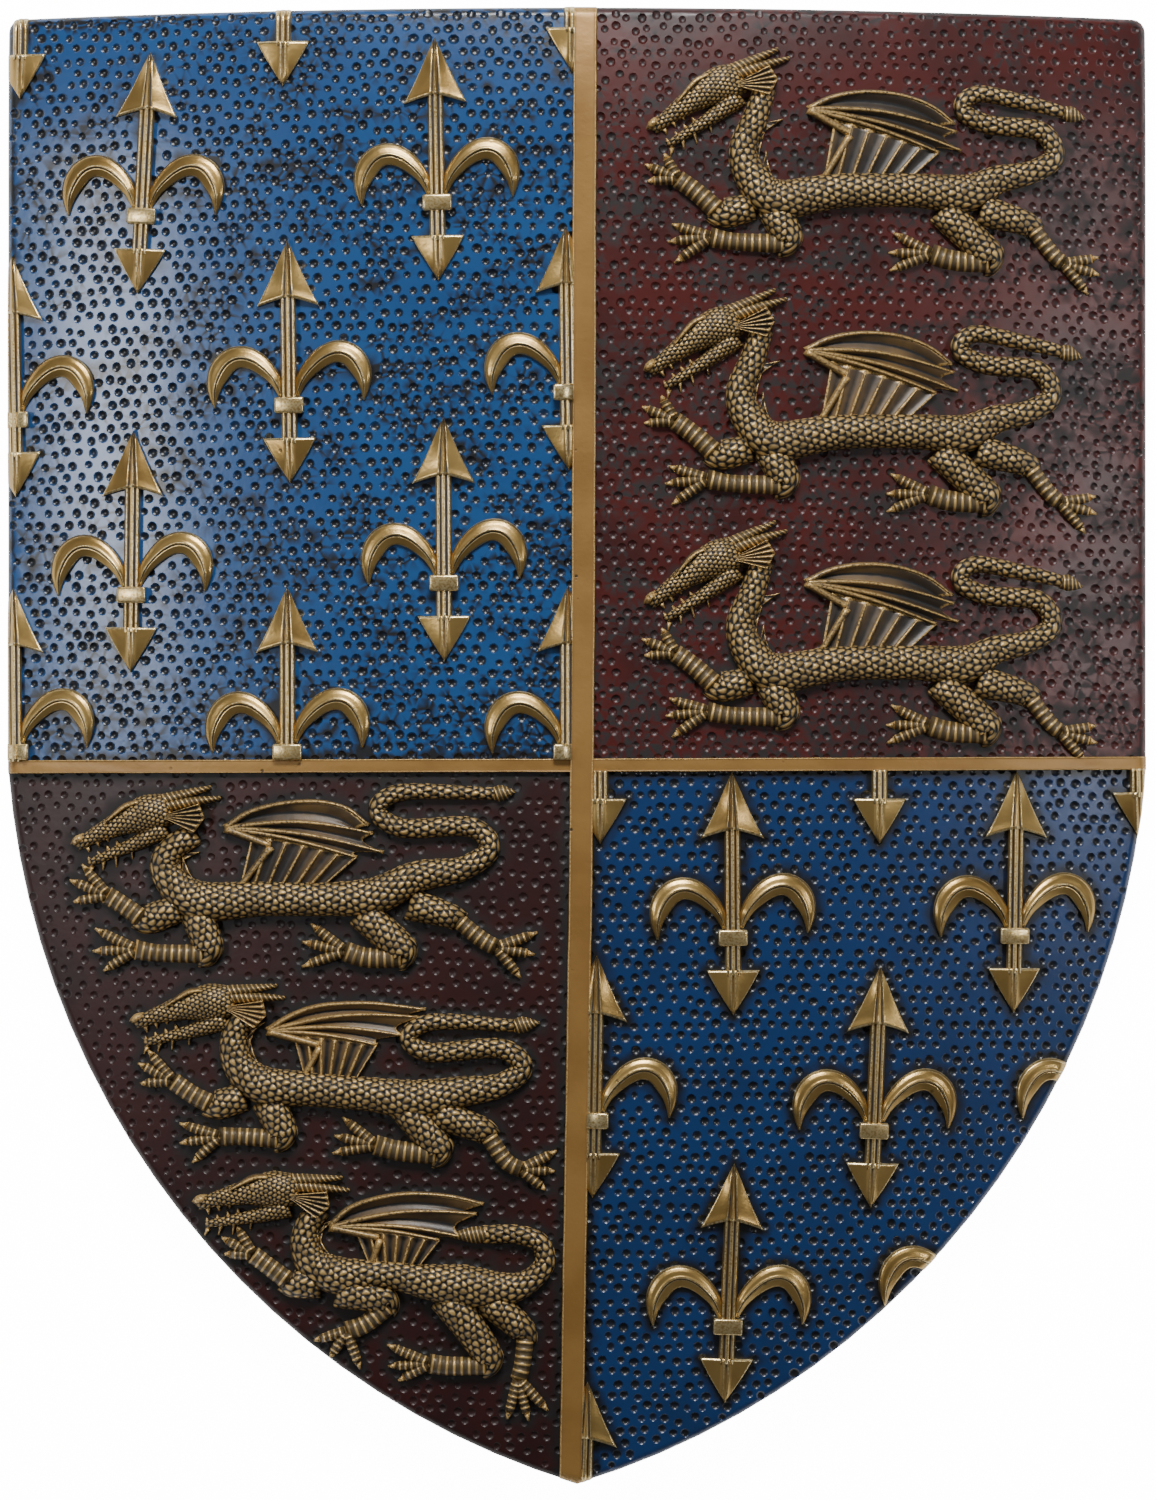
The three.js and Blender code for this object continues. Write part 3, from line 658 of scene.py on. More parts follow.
@dataclass
class Group:
    """A shared effect: a node group with named inputs and outputs."""

    name: str
    tree: Tree = field(init=False)
    ins: bpy.types.Node = field(init=False)
    outs: bpy.types.Node = field(init=False)

    def __post_init__(self) -> None:
        """Make the empty group."""
        self.tree = bpy.data.node_groups.new(self.name, "ShaderNodeTree")
        self.ins = self.tree.nodes.new("NodeGroupInput")
        self.outs = self.tree.nodes.new("NodeGroupOutput")

    def input(self, name: str, kind: Sockets, value: object) -> None:
        """Add a named input with a value to start from."""
        socket = self.tree.interface.new_socket(name=name, in_out="INPUT", socket_type=kind.value)
        socket.default_value = value

    def output(self, name: str, kind: Sockets) -> None:
        """Add a named output."""
        self.tree.interface.new_socket(name=name, in_out="OUTPUT", socket_type=kind.value)

    def link(self, source: Socket, target: Socket) -> None:
        """Join two sockets."""
        self.tree.links.new(source, target)


def new_node(tree: Tree, kind: str, **settings: object) -> bpy.types.Node:
    """Add a node to a tree.

    Args:
        tree: the tree it is added to.
        kind: the node's type name.
        settings: its own settings, by name.

    Returns:
        The node.
    """
    node = tree.nodes.new(kind)
    for key, value in settings.items():
        setattr(node, key, value)
    return node


def math_node(
    tree: Tree, operation: str, first: object, second: object, clamp: bool = False
) -> Socket:
    """A sum of two values or sockets.

    Args:
        tree: the tree it is added to.
        operation: what is done with the two.
        first: a socket or a number.
        second: a socket or a number.
        clamp: whether the result stays within 0 and 1.

    Returns:
        The result's socket.
    """
    node = new_node(tree, "ShaderNodeMath", operation=operation, use_clamp=clamp)
    for slot, value in enumerate((first, second)):
        if isinstance(value, Socket):
            tree.links.new(value, node.inputs[slot])
        else:
            node.inputs[slot].default_value = value
    return node.outputs[0]


def ramp_between(
    tree: Tree, source: Socket, low: float, high: float
) -> Socket:
    """A smooth mask: 0 where a socket is at the low value, 1 where it is at the high one.

    Args:
        tree: the tree it is added to.
        source: the socket that is read.
        low: the value where the mask is 0.
        high: the value where it is 1.

    Returns:
        The mask's socket.
    """
    node = new_node(tree, "ShaderNodeMapRange", interpolation_type="SMOOTHSTEP")
    tree.links.new(source, node.inputs["Value"])
    node.inputs["From Min"].default_value = low
    node.inputs["From Max"].default_value = high
    return node.outputs["Result"]


def mixed(
    tree: Tree, factor: object, first: object, second: object, blend: str = "MIX"
) -> Socket:
    """A blend of two colours.

    Args:
        tree: the tree it is added to.
        factor: a socket or a number, how much of the second shows.
        first: a socket or a colour.
        second: a socket or a colour.
        blend: how they are blended.

    Returns:
        The blended colour's socket.
    """
    node = new_node(tree, "ShaderNodeMix", data_type="RGBA", blend_type=blend, clamp_factor=True)
    for slot, value in ((0, factor), (6, first), (7, second)):
        if isinstance(value, Socket):
            tree.links.new(value, node.inputs[slot])
        else:
            node.inputs[slot].default_value = value
    return node.outputs[2]


def noise(
    tree: Tree, source: Socket, scale: float, detail: float = 3.0
) -> Socket:
    """A noise over the surface, at so many waves a metre.

    Args:
        tree: the tree it is added to.
        source: the socket of the places.
        scale: waves a metre.
        detail: how many finer layers it has.

    Returns:
        The noise's socket.
    """
    node = new_node(tree, "ShaderNodeTexNoise")
    tree.links.new(source, node.inputs["Vector"])
    node.inputs["Scale"].default_value = scale
    node.inputs["Detail"].default_value = detail
    return node.outputs["Fac"]


Colour = tuple[float, float, float, float]


def srgb(red: int, green: int, blue: int) -> Colour:
    """A colour given in the 0 to 255 steps of a screen.

    Args:
        red: its red.
        green: its green.
        blue: its blue.

    Returns:
        The linear colour, opaque.
    """

    def linear(step: int) -> float:
        """One step as a linear share."""
        share = step / 255
        return share / 12.92 if share <= 0.04045 else ((share + 0.055) / 1.055) ** 2.4

    return (linear(red), linear(green), linear(blue), 1.0)


def build_worn_paint() -> None:
    """The shared effect of mottled paint, darkened by antiquing and painted shade in the hollows
    and by the stored painted shade, lightened by drybrushed wear and painted highlight on the
    crests.
    """
    group = Group("worn_paint")
    group.input("Paint", Sockets.COLOUR, (0.5, 0.5, 0.5, 1))
    group.input("Second Paint", Sockets.COLOUR, (0.4, 0.4, 0.4, 1))
    group.input("Wash", Sockets.COLOUR, (0.02, 0.02, 0.02, 1))
    group.input("Rubbed", Sockets.COLOUR, (0.8, 0.8, 0.8, 1))
    group.input("Wash Amount", Sockets.VALUE, 1.0)
    group.input("Hollow Amount", Sockets.VALUE, 1.0)
    group.input("Rub Amount", Sockets.VALUE, 1.0)
    group.input("Mottle", Sockets.VALUE, 0.6)
    group.input("Place", Sockets.VECTOR, (0, 0, 0))
    group.output("Colour", Sockets.COLOUR)
    group.output("Washed And Shaded", Sockets.VALUE)
    group.output("Rub And Highlight", Sockets.VALUE)
    tree = group.tree
    ins = group.ins.outputs
    crest = new_node(tree, "ShaderNodeAttribute", attribute_name="crest").outputs["Fac"]
    shade = new_node(tree, "ShaderNodeAttribute", attribute_name="shade").outputs["Fac"]
    broad = noise(tree, ins["Place"], 38, 4)
    fine = noise(tree, ins["Place"], 420, 3)
    speck = noise(tree, ins["Place"], 1500, 2)
    mottle = math_node(tree, "MULTIPLY", ramp_between(tree, broad, 0.38, 0.66), ins["Mottle"])
    base = mixed(tree, mottle, ins["Paint"], ins["Second Paint"])
    # Hollows darken: antiquing and painted shade; the stored shade adds painted shade at feet, in
    # dimples and beside charges.
    hollow = ramp_between(tree, crest, 0.02, -0.16)
    deep = math_node(
        tree, "MAXIMUM", math_node(tree, "MULTIPLY", hollow, ins["Hollow Amount"]), shade
    )
    ragged = math_node(tree, "MULTIPLY", deep, math_node(tree, "ADD", fine, 0.62), clamp=True)
    washed_and_shaded = math_node(tree, "MULTIPLY", ragged, ins["Wash Amount"], clamp=True)
    # Crests lighten: drybrushed wear and painted highlight.
    edge = ramp_between(tree, crest, 0.03, 0.2)
    dry_rub_and_highlight = math_node(tree, "MULTIPLY", edge, ramp_between(tree, speck, 0.3, 0.6))
    rub_and_highlight = math_node(tree, "MULTIPLY", dry_rub_and_highlight, ins["Rub Amount"], clamp=True)
    coloured = mixed(tree, washed_and_shaded, base, ins["Wash"])
    group.link(mixed(tree, rub_and_highlight, coloured, ins["Rubbed"]), group.outs.inputs["Colour"])
    group.link(washed_and_shaded, group.outs.inputs["Washed And Shaded"])
    group.link(rub_and_highlight, group.outs.inputs["Rub And Highlight"])


def build_cast_grain() -> None:
    """The shared effect of a cast and hand-painted surface: grain, brush marks and small pits."""
    group = Group("cast_grain")
    group.input("Place", Sockets.VECTOR, (0, 0, 0))
    group.input("Grain", Sockets.VALUE, 0.3)
    group.input("Pits", Sockets.VALUE, 0.3)
    group.output("Height", Sockets.VALUE)
    group.output("Pitted", Sockets.VALUE)
    tree = group.tree
    ins = group.ins.outputs
    grain = noise(tree, ins["Place"], 900, 4)
    swell = noise(tree, ins["Place"], 160, 2)
    cells = new_node(tree, "ShaderNodeTexVoronoi")
    group.link(ins["Place"], cells.inputs["Vector"])
    cells.inputs["Scale"].default_value = 210
    holes = ramp_between(tree, cells.outputs["Distance"], 0.16, 0.06)
    rare = ramp_between(tree, noise(tree, ins["Place"], 90, 1), 0.58, 0.66)
    sparse = math_node(tree, "MULTIPLY", holes, rare)
    pitted = math_node(tree, "MULTIPLY", sparse, ins["Pits"], clamp=True)
    surface = math_node(tree, "ADD", math_node(tree, "MULTIPLY", grain, ins["Grain"]), swell)
    group.link(math_node(tree, "SUBTRACT", surface, pitted), group.outs.inputs["Height"])
    group.link(pitted, group.outs.inputs["Pitted"])


def build_hide_cover() -> None:
    """The shared effect of scales and rings, from each place's stored position among them."""
    group = Group("hide_cover")
    group.output("Bead", Sockets.VALUE)
    group.output("Gilt", Sockets.VALUE)
    group.output("Covered", Sockets.VALUE)
    tree = group.tree
    along, across, kind = [
        new_node(tree, "ShaderNodeAttribute", attribute_name=name).outputs["Fac"]
        for name in COVER_MARKS
    ]
    scaled = math_node(tree, "GREATER_THAN", kind, 0.8)
    covered_part = math_node(tree, "GREATER_THAN", kind, 0.3)
    row = math_node(tree, "FLOOR", along, 0.0)
    part = math_node(tree, "SUBTRACT", math_node(tree, "SUBTRACT", along, row), 0.5)
    odd = math_node(tree, "MULTIPLY", math_node(tree, "FLOORED_MODULO", row, 2.0), 0.5)
    shifted = math_node(tree, "ADD", across, odd)
    column = math_node(tree, "FLOOR", shifted, 0.0)
    centred = math_node(tree, "SUBTRACT", math_node(tree, "SUBTRACT", shifted, column), 0.5)
    aside = math_node(tree, "MULTIPLY", centred, scaled)
    spread = math_node(tree, "MULTIPLY", math_node(tree, "ABSOLUTE", aside, 0.0), 0.45)
    narrow = math_node(tree, "SUBTRACT", 2.4, math_node(tree, "MULTIPLY", scaled, 1.4))
    lean = math_node(tree, "ADD", math_node(tree, "MULTIPLY", part, narrow), spread)
    reach = math_node(
        tree, "ADD",
        math_node(tree, "MULTIPLY", math_node(tree, "MULTIPLY", lean, lean), 0.8),
        math_node(tree, "MULTIPLY", aside, aside),
    )
    bead = math_node(
        tree, "SUBTRACT", 1.0, math_node(tree, "MULTIPLY", reach, 3.6), clamp=True
    )
    cell = new_node(tree, "ShaderNodeCombineXYZ")
    group.link(row, cell.inputs["X"])
    group.link(column, cell.inputs["Y"])
    chance = new_node(tree, "ShaderNodeTexWhiteNoise", noise_dimensions="2D")
    group.link(cell.outputs["Vector"], chance.inputs["Vector"])
    bright = math_node(
        tree, "ADD", math_node(tree, "MULTIPLY", chance.outputs["Value"], 0.85), 0.15
    )
    rings = math_node(tree, "MULTIPLY", math_node(tree, "SUBTRACT", 1.0, scaled), 0.1)
    body = math_node(tree, "MULTIPLY", ramp_between(tree, bead, 0.2, 0.55), 0.2)
    top = math_node(tree, "MULTIPLY", ramp_between(tree, bead, 0.45, 0.95), 0.8)
    shown = math_node(tree, "ADD", body, math_node(tree, "MULTIPLY", top, bright))
    gilt = math_node(tree, "ADD", shown, rings, clamp=True)
    group.link(math_node(tree, "MULTIPLY", bead, covered_part), group.outs.inputs["Bead"])
    group.link(math_node(tree, "MULTIPLY", gilt, covered_part), group.outs.inputs["Gilt"])
    group.link(covered_part, group.outs.inputs["Covered"])


@dataclass(frozen=True)
class Finish:
    """One painted finish, with its own colours and wear, its painted shade in the hollows and its
    painted highlight on the crests.
    """

    name: str
    paint: Colour
    second: Colour
    # The dark colour of antiquing, pits and dark base paint, and of the painted shade.
    wash: Colour
    # The light colour of drybrushed wear and gilding, and of the painted highlight.
    rubbed: Colour
    wash_and_shade_amount: float = 1.0
    hollow_amount: float = 1.0
    rub_amount: float = 0.5
    mottle: float = 0.6
    grain: float = 0.35
    pits: float = 0.3
    metal: float = 0.0
    roughness: float = 0.42
    washed_roughness: float = 0.62
    coat: float = 0.15
    coat_roughness: float = 0.25
    bump: float = 0.35
    hide: bool = False

    def material(self) -> bpy.types.Material:
        """Make the finish's material.

        Returns:
            The material.
        """
        made = bpy.data.materials.new(self.name)
        made.use_nodes = True
        tree = made.node_tree
        shader = tree.nodes["Principled BSDF"]
        place = new_node(tree, "ShaderNodeTexCoord").outputs["Object"]
        paint = new_node(tree, "ShaderNodeGroup", node_tree=bpy.data.node_groups["worn_paint"])
        for name, value in (
            ("Paint", self.paint),
            ("Second Paint", self.second),
            ("Wash", self.wash),
            ("Rubbed", self.rubbed),
            ("Wash Amount", self.wash_and_shade_amount),
            ("Hollow Amount", self.hollow_amount),
            ("Rub Amount", self.rub_amount),
            ("Mottle", self.mottle),
        ):
            paint.inputs[name].default_value = value
        tree.links.new(place, paint.inputs["Place"])
        grain = new_node(tree, "ShaderNodeGroup", node_tree=bpy.data.node_groups["cast_grain"])
        grain.inputs["Grain"].default_value = self.grain
        grain.inputs["Pits"].default_value = self.pits
        tree.links.new(place, grain.inputs["Place"])
        colour = mixed(tree, grain.outputs["Pitted"], paint.outputs["Colour"], self.wash)
        height = grain.outputs["Height"]
        bright = math_node(tree, "SUBTRACT", 1.0, paint.outputs["Washed And Shaded"], clamp=True)
        if self.hide:
            cover = new_node(tree, "ShaderNodeGroup", node_tree=bpy.data.node_groups["hide_cover"])
            colour = mixed(tree, cover.outputs["Covered"], colour, self.wash)
            colour = mixed(tree, cover.outputs["Gilt"], colour, self.rubbed)
            height = math_node(tree, "ADD", height, cover.outputs["Bead"])
            bright = math_node(
                tree, "MAXIMUM", paint.outputs["Rub And Highlight"], cover.outputs["Gilt"], clamp=True
            )
        tree.links.new(colour, shader.inputs["Base Color"])
        dull = new_node(tree, "ShaderNodeMapRange")
        tree.links.new(paint.outputs["Washed And Shaded"], dull.inputs["Value"])
        dull.inputs["To Min"].default_value = self.roughness
        dull.inputs["To Max"].default_value = self.washed_roughness
        tree.links.new(dull.outputs["Result"], shader.inputs["Roughness"])
        if self.metal:
            tree.links.new(
                math_node(tree, "MULTIPLY", bright, self.metal), shader.inputs["Metallic"]
            )
        bump = new_node(tree, "ShaderNodeBump")
        bump.inputs["Strength"].default_value = self.bump
        bump.inputs["Distance"].default_value = BUMP_HEIGHT
        tree.links.new(height, bump.inputs["Height"])
        tree.links.new(bump.outputs["Normal"], shader.inputs["Normal"])
        shader.inputs["Coat Weight"].default_value = self.coat
        shader.inputs["Coat Roughness"].default_value = self.coat_roughness
        return made


BLUE = Finish(
    "blue_enamel", srgb(22, 72, 124), srgb(14, 54, 102), srgb(10, 12, 18), srgb(96, 140, 180),
    hollow_amount=0.5, rub_amount=0.0, mottle=0.35, roughness=0.3,
    washed_roughness=0.4, coat=0.3, coat_roughness=0.16, bump=0.2,
)
# A darker copy of the blue for the lower quarter: painted shade for the lower half of the shield,
# which stands in less light.
SHADED_BLUE = Finish(
    "shaded_blue_enamel", srgb(12, 48, 94), srgb(9, 38, 76), srgb(9, 11, 17), srgb(96, 140, 180),
    hollow_amount=0.5, rub_amount=0.0, mottle=0.6, roughness=0.32,
    washed_roughness=0.42, coat=0.25, coat_roughness=0.18, bump=0.2,
)
MAROON = Finish(
    "maroon_enamel", srgb(70, 14, 9), srgb(44, 10, 9), srgb(13, 8, 9), srgb(150, 118, 112),
    wash_and_shade_amount=0.95, hollow_amount=0.15, rub_amount=0.0, mottle=0.8, roughness=0.36,
    washed_roughness=0.58, coat=0.12, coat_roughness=0.34, bump=0.2,
)
# A darker copy of the maroon for the lower quarter: painted shade for the lower half of the shield,
# which stands in less light.
SHADED_MAROON = Finish(
    "shaded_maroon_enamel", srgb(46, 10, 7), srgb(31, 8, 8), srgb(11, 7, 8), srgb(150, 118, 112),
    wash_and_shade_amount=0.95, hollow_amount=0.1, rub_amount=0.0, mottle=0.8, roughness=0.42,
    washed_roughness=0.62, coat=0.04, coat_roughness=0.3, bump=0.2,
)
BAND_GOLD = Finish(
    "band_gold", srgb(156, 118, 62), srgb(128, 92, 42), srgb(40, 27, 16), srgb(214, 180, 116),
    wash_and_shade_amount=0.9, rub_amount=0.8, metal=0.4, roughness=0.42, pits=0.9,
)
FLEUR_GOLD = Finish(
    "fleur_gold", srgb(186, 154, 92), srgb(146, 112, 56), srgb(30, 22, 16), srgb(240, 222, 172),
    rub_amount=0.85, metal=0.9, roughness=0.3, pits=0.5,
)
DRAGON_GILT = Finish(
    "dragon_gilt", srgb(44, 35, 26), srgb(104, 80, 46), srgb(9, 9, 10), srgb(218, 180, 112),
    rub_amount=1.0, mottle=0.9, metal=0.5, roughness=0.4, washed_roughness=0.8,
    coat=0.08, coat_roughness=0.35, pits=0.0, hide=True,
)
DARK_EDGE = Finish(
    "dark_edge", srgb(44, 40, 40), srgb(60, 50, 42), srgb(20, 19, 21), srgb(120, 104, 78),
    wash_and_shade_amount=0.8, rub_amount=0.5, roughness=0.5, coat=0.1,
)
BACK_PAINT = Finish(
    "back_paint", srgb(38, 36, 36), srgb(50, 46, 43), srgb(22, 21, 22), srgb(84, 76, 66),
    wash_and_shade_amount=0.7, rub_amount=0.2, roughness=0.62, coat=0.0, pits=0.6,
)


@dataclass
class Workshop:
    """Turns meshes designed in plan into finished pieces on the bowed ground."""

    materials: dict[str, bpy.types.Material] = field(default_factory=dict)
    charges: dict[Quarter, Mesh] = field(default_factory=dict)

    def note_charge(self, quarter: Quarter, bm: Mesh) -> None:
        """Remember a charge in plan, for the field that it stands on.

        Args:
            quarter: the quarter that it stands on.
            bm: the charge's mesh.
        """
        flat = bpy.data.meshes.new("charge")
        bm.to_mesh(flat)
        if quarter not in self.charges:
            self.charges[quarter] = bmesh.new()
        self.charges[quarter].from_mesh(flat)
        bpy.data.meshes.remove(flat)

    def charge_tree(self, quarter: Quarter) -> BVHTree:
        """All the charges of a quarter, ready to be searched."""
        return BVHTree.FromBMesh(self.charges[quarter])

    def paint(self, finish: Finish) -> bpy.types.Material:
        """The material of a finish, made once.

        Args:
            finish: the finish.

        Returns:
            Its material.
        """
        if finish.name not in self.materials:
            self.materials[finish.name] = finish.material()
        return self.materials[finish.name]

    def finish_piece(
        self,
        name: str,
        bm: Mesh,
        finish: Finish,
        lay: bool = True,
        shades: Optional[np.ndarray] = None,
        foot_shade_line: float = 0.0,
        under: Optional[Finish] = None,
    ) -> None:
        """Make a piece of a mesh designed in plan.

        Args:
            name: the piece's name.
            bm: its mesh, in mm, which is freed.
            finish: its paint.
            lay: whether it is still to be laid on the bowed ground.
            shades: how deep each vertex lies in painted shade, 0 to 1.
            foot_shade_line: how high the painted shade rises up the piece's foot, in mm.
            under: the paint of the faces that look down, where it is another.
        """
        bmesh.ops.triangulate(bm, faces=[f for f in bm.faces if len(f.verts) > 4])
        mesh = bpy.data.meshes.new(name)
        bm.to_mesh(mesh)
        bm.free()
        count = len(mesh.vertices)
        spots = np.empty(count * 3)
        mesh.vertices.foreach_get("co", spots)
        spots = spots.reshape(-1, 3)
        # Unless given, the shades are painted shade at the foot: darkest at the ground, fading out
        # at the height given.
        if shades is None:
            low = 1 - spots[:, 2] / foot_shade_line if foot_shade_line else np.zeros(count)
            shades = np.clip(low, 0, 1)
        if lay:
            x, y = spots[:, 0], spots[:, 1]
            spots[:, 2] += GROUND.level(x, y) - GROUND.edge_fall(x, y)
        spots *= MM
        mesh.vertices.foreach_set("co", spots.ravel())
        mesh.update()
        mesh.polygons.foreach_set("use_smooth", np.ones(len(mesh.polygons), bool))
        self._mark_crests(mesh, spots)
        layer = mesh.attributes.new("shade", "FLOAT", "POINT")
        layer.data.foreach_set("value", shades.astype(float))
        mesh.materials.append(self.paint(finish))
        if under:
            mesh.materials.append(self.paint(under))
            down = [int(face.normal.z < LOOKS_DOWN) for face in mesh.polygons]
            mesh.polygons.foreach_set("material_index", down)
        piece = bpy.data.objects.new(name, mesh)
        bpy.context.scene.collection.objects.link(piece)
        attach(piece, BODY)
        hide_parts(NODE)
        LOG.info("%s: %d faces", name, len(mesh.polygons))

    @staticmethod
    def _mark_crests(mesh: bpy.types.Mesh, spots: np.ndarray) -> None:
        """Store how far each vertex stands out of its surroundings, below 0 in a hollow.

        Args:
            mesh: the piece's mesh.
            spots: its vertices' places, in metres.
        """
        ends = np.empty(len(mesh.edges) * 2, np.int64)
        mesh.edges.foreach_get("vertices", ends)
        a, b = ends.reshape(-1, 2).T
        normals = np.empty(len(spots) * 3)
        mesh.vertices.foreach_get("normal", normals)
        normals = normals.reshape(-1, 3)
        run = spots[b] - spots[a]
        run /= np.maximum(np.linalg.norm(run, axis=1, keepdims=True), 1e-9)
        total = np.zeros(len(spots))
        times = np.zeros(len(spots))
        np.add.at(total, a, -(run * normals[a]).sum(1))
        np.add.at(total, b, (run * normals[b]).sum(1))
        np.add.at(times, a, 1)
        np.add.at(times, b, 1)
        crest = total / np.maximum(times, 1)
        layer = mesh.attributes.new("crest", "FLOAT", "POINT")
        layer.data.foreach_set("value", crest)


# ---- the body


@dataclass(frozen=True)
class Casting:
    """The wall itself: its rounded edge, its back and the pad for a hanger."""

    sunk: float = 3.2
    rim_inset: float = 2.9
    lip: tuple[Point, ...] = ((0.3, -2.45), (0.0, -2.75))
    cell: float = 7.0
    cell_shift: float = 0.01
    pad_width: float = 44.0
    pad_height: float = 26.0
    pad_depth: float = 6.0
    pad_below_top: float = 38.0
    pad_round: float = 1.2

    def build(self, shop: Workshop) -> None:
        """Make the wall and the pad.

        Args:
            shop: where the pieces are finished.
        """
        bm = bmesh.new()
        first = self._loop(bm)
        loops = [first]
        for inset, height in (*self.lip, (0.0, -GROUND.wall)):
            loops.append(self._step_out(bm, loops[-1], inset, height))
        self._cap(bm, loops[0], -self.sunk)
        self._cap(bm, loops[-1], -GROUND.wall)
        bmesh.ops.recalc_face_normals(bm, faces=bm.faces)
        for vert in bm.verts:
            level = float(GROUND.level(np.float64(vert.co.x), np.float64(vert.co.y)))
            vert.co.z = max(0.0, vert.co.z + level)
        shop.finish_piece("wall_and_rim", bm, DARK_EDGE, lay=False, under=BACK_PAINT)
        self._pad(shop)

    def _loop(self, bm: Mesh) -> list[Edge]:
        """The innermost line of the rim."""
        verts = [bm.verts.new((x, y, -self.sunk)) for x, y in self._line(self.rim_inset)]
        return [bm.edges.new((a, b)) for a, b in zip(verts, verts[1:] + verts[:1])]

    def _line(self, inset: float) -> list[Point]:
        """A line inside the outline, its long sides divided so that they can bow.

        Args:
            inset: how far inside the outline it runs, in mm.

        Returns:
            Its corners.
        """
        outer = GROUND.outline()
        inner = GROUND.outline(inset)
        line = []
        for i, corner in enumerate(outer):
            after = (i + 1) % len(outer)
            parts = max(1, round(math.dist(corner, outer[after]) / self.cell))
            line += [mix_point(inner[i], inner[after], k / parts) for k in range(parts)]
        return line

    def _step_out(
        self, bm: Mesh, edges: list[Edge], inset: float, height: float
    ) -> list[Edge]:
        """Draw the rim on to its next line.

        Args:
            bm: the wall's mesh.
            edges: the line that it has reached.
            inset: how far inside the outline the next line is, in mm.
            height: how high it is over the ground, in mm.

        Returns:
            The next line.
        """
        made = bmesh.ops.extrude_edge_only(bm, edges=edges)["geom"]
        verts = [v for v in made if isinstance(v, Vert)]
        line = np.array(self._line(inset))
        here = np.array([v.co[:2] for v in verts])
        start = np.array(self._line(self._inset_of(here)))
        for vert, spot in zip(verts, here):
            nearest = int(np.argmin(np.linalg.norm(start - spot, axis=1)))
            vert.co = (line[nearest][0], line[nearest][1], height)
        return [e for e in made if isinstance(e, Edge) and e.is_boundary]

    @staticmethod
    def _inset_of(spots: np.ndarray) -> float:
        """How far inside the outline a line's corners are, in mm."""
        return float(np.median(GROUND.depth_inside(spots[:, 0], spots[:, 1])))

    def _cap(self, bm: Mesh, edges: list[Edge], height: float) -> None:
        """Fill a line and divide the filling into cells that can bow.

        Args:
            bm: the wall's mesh.
            edges: the line.
            height: how high the line is over the ground, in mm.
        """
        bmesh.ops.contextual_create(bm, geom=edges)
        flat = [f for f in bm.faces if all(abs(v.co.z - height) < FLAT_GAP for v in f.verts)]
        split_in_cells(bm, flat, self.cell, self.cell_shift)

    def _pad(self, shop: Workshop) -> None:
        """The flat pad on the back that a hanger is fixed to.

        Args:
            shop: where the pad is finished.
        """
        y = GROUND.height / 2 - self.pad_below_top
        level = float(GROUND.level(np.float64(0), np.float64(y)))
        face = level - GROUND.wall - self.pad_depth
        depth = self.pad_depth + GROUND.wall / 2
        bm = bmesh.new()
        bmesh.ops.create_cube(bm, size=1.0)
        bmesh.ops.scale(bm, vec=(self.pad_width, self.pad_height, depth), verts=bm.verts)
        bmesh.ops.translate(bm, vec=(0, y, face + depth / 2), verts=bm.verts)
        bmesh.ops.bevel(
            bm, geom=bm.edges[:], offset=self.pad_round, affect="EDGES", segments=3, profile=0.5,
            material=-1,
        )
        shop.finish_piece("hanger_pad", bm, BACK_PAINT, lay=False)


# ---- the bands


@dataclass(frozen=True)
class Band:
    """A flat band with softened, slightly uneven edges."""

    name: str
    start: Point
    bend: Optional[Point]
    end: Point
    width: float
    relief: float
    seed: int
    waves: int = 9
    edge_wander: float = 0.05
    face_wander: float = 0.1

    def build(self, shop: Workshop) -> None:
        """Make the band.

        Args:
            shop: where the band is finished.
        """
        rng = random.Random(self.seed)
        waves = [
            (rng.uniform(0.02, 0.4), rng.uniform(0, 6.3), rng.uniform(0.3, 1))
            for _ in range(self.waves)
        ]

        def wander(run: float, shift: float) -> float:
            """A slow unevenness along the band, about 0."""
            return sum(a * math.sin(run * f + p + shift) for f, p, a in waves) / self.waves

        section = table_of(
            [
                (0.0, 0.97), (0.7, 0.96), (0.8, 0.98), (0.88, 1.04), (0.93, 1.0), (0.97, 0.6),
                (1.0, 0.0),
            ]
        )

        def relief(share: float, run: float) -> float:
            """The band's height at a share across and a distance along."""
            side = 1.0 if share > 0 else -1.0
            wavy = abs(share) * (1 + self.edge_wander * wander(run, side * 1.7))
            height = self.relief * section(min(1.0, wavy))
            return height + self.face_wander * wander(run, share * 2.2) * (1 - abs(share) ** 4)

        half = self.width / 2
        points = [(*self.start, half)]
        if self.bend:
            points.append((*self.bend, half))
        points.append((*self.end, half))
        bm = bmesh.new()
        Ridge(Path(tuple(points)), relief, step=1.1, columns=32).build(bm)
        bmesh.ops.recalc_face_normals(bm, faces=bm.faces)
        cut_away(bm, outline_cuts(CHARGE_INSET), fill=True)
        shop.finish_piece(self.name, bm, BAND_GOLD, foot_shade_line=0.5)


# ---- fleurs-de-lis


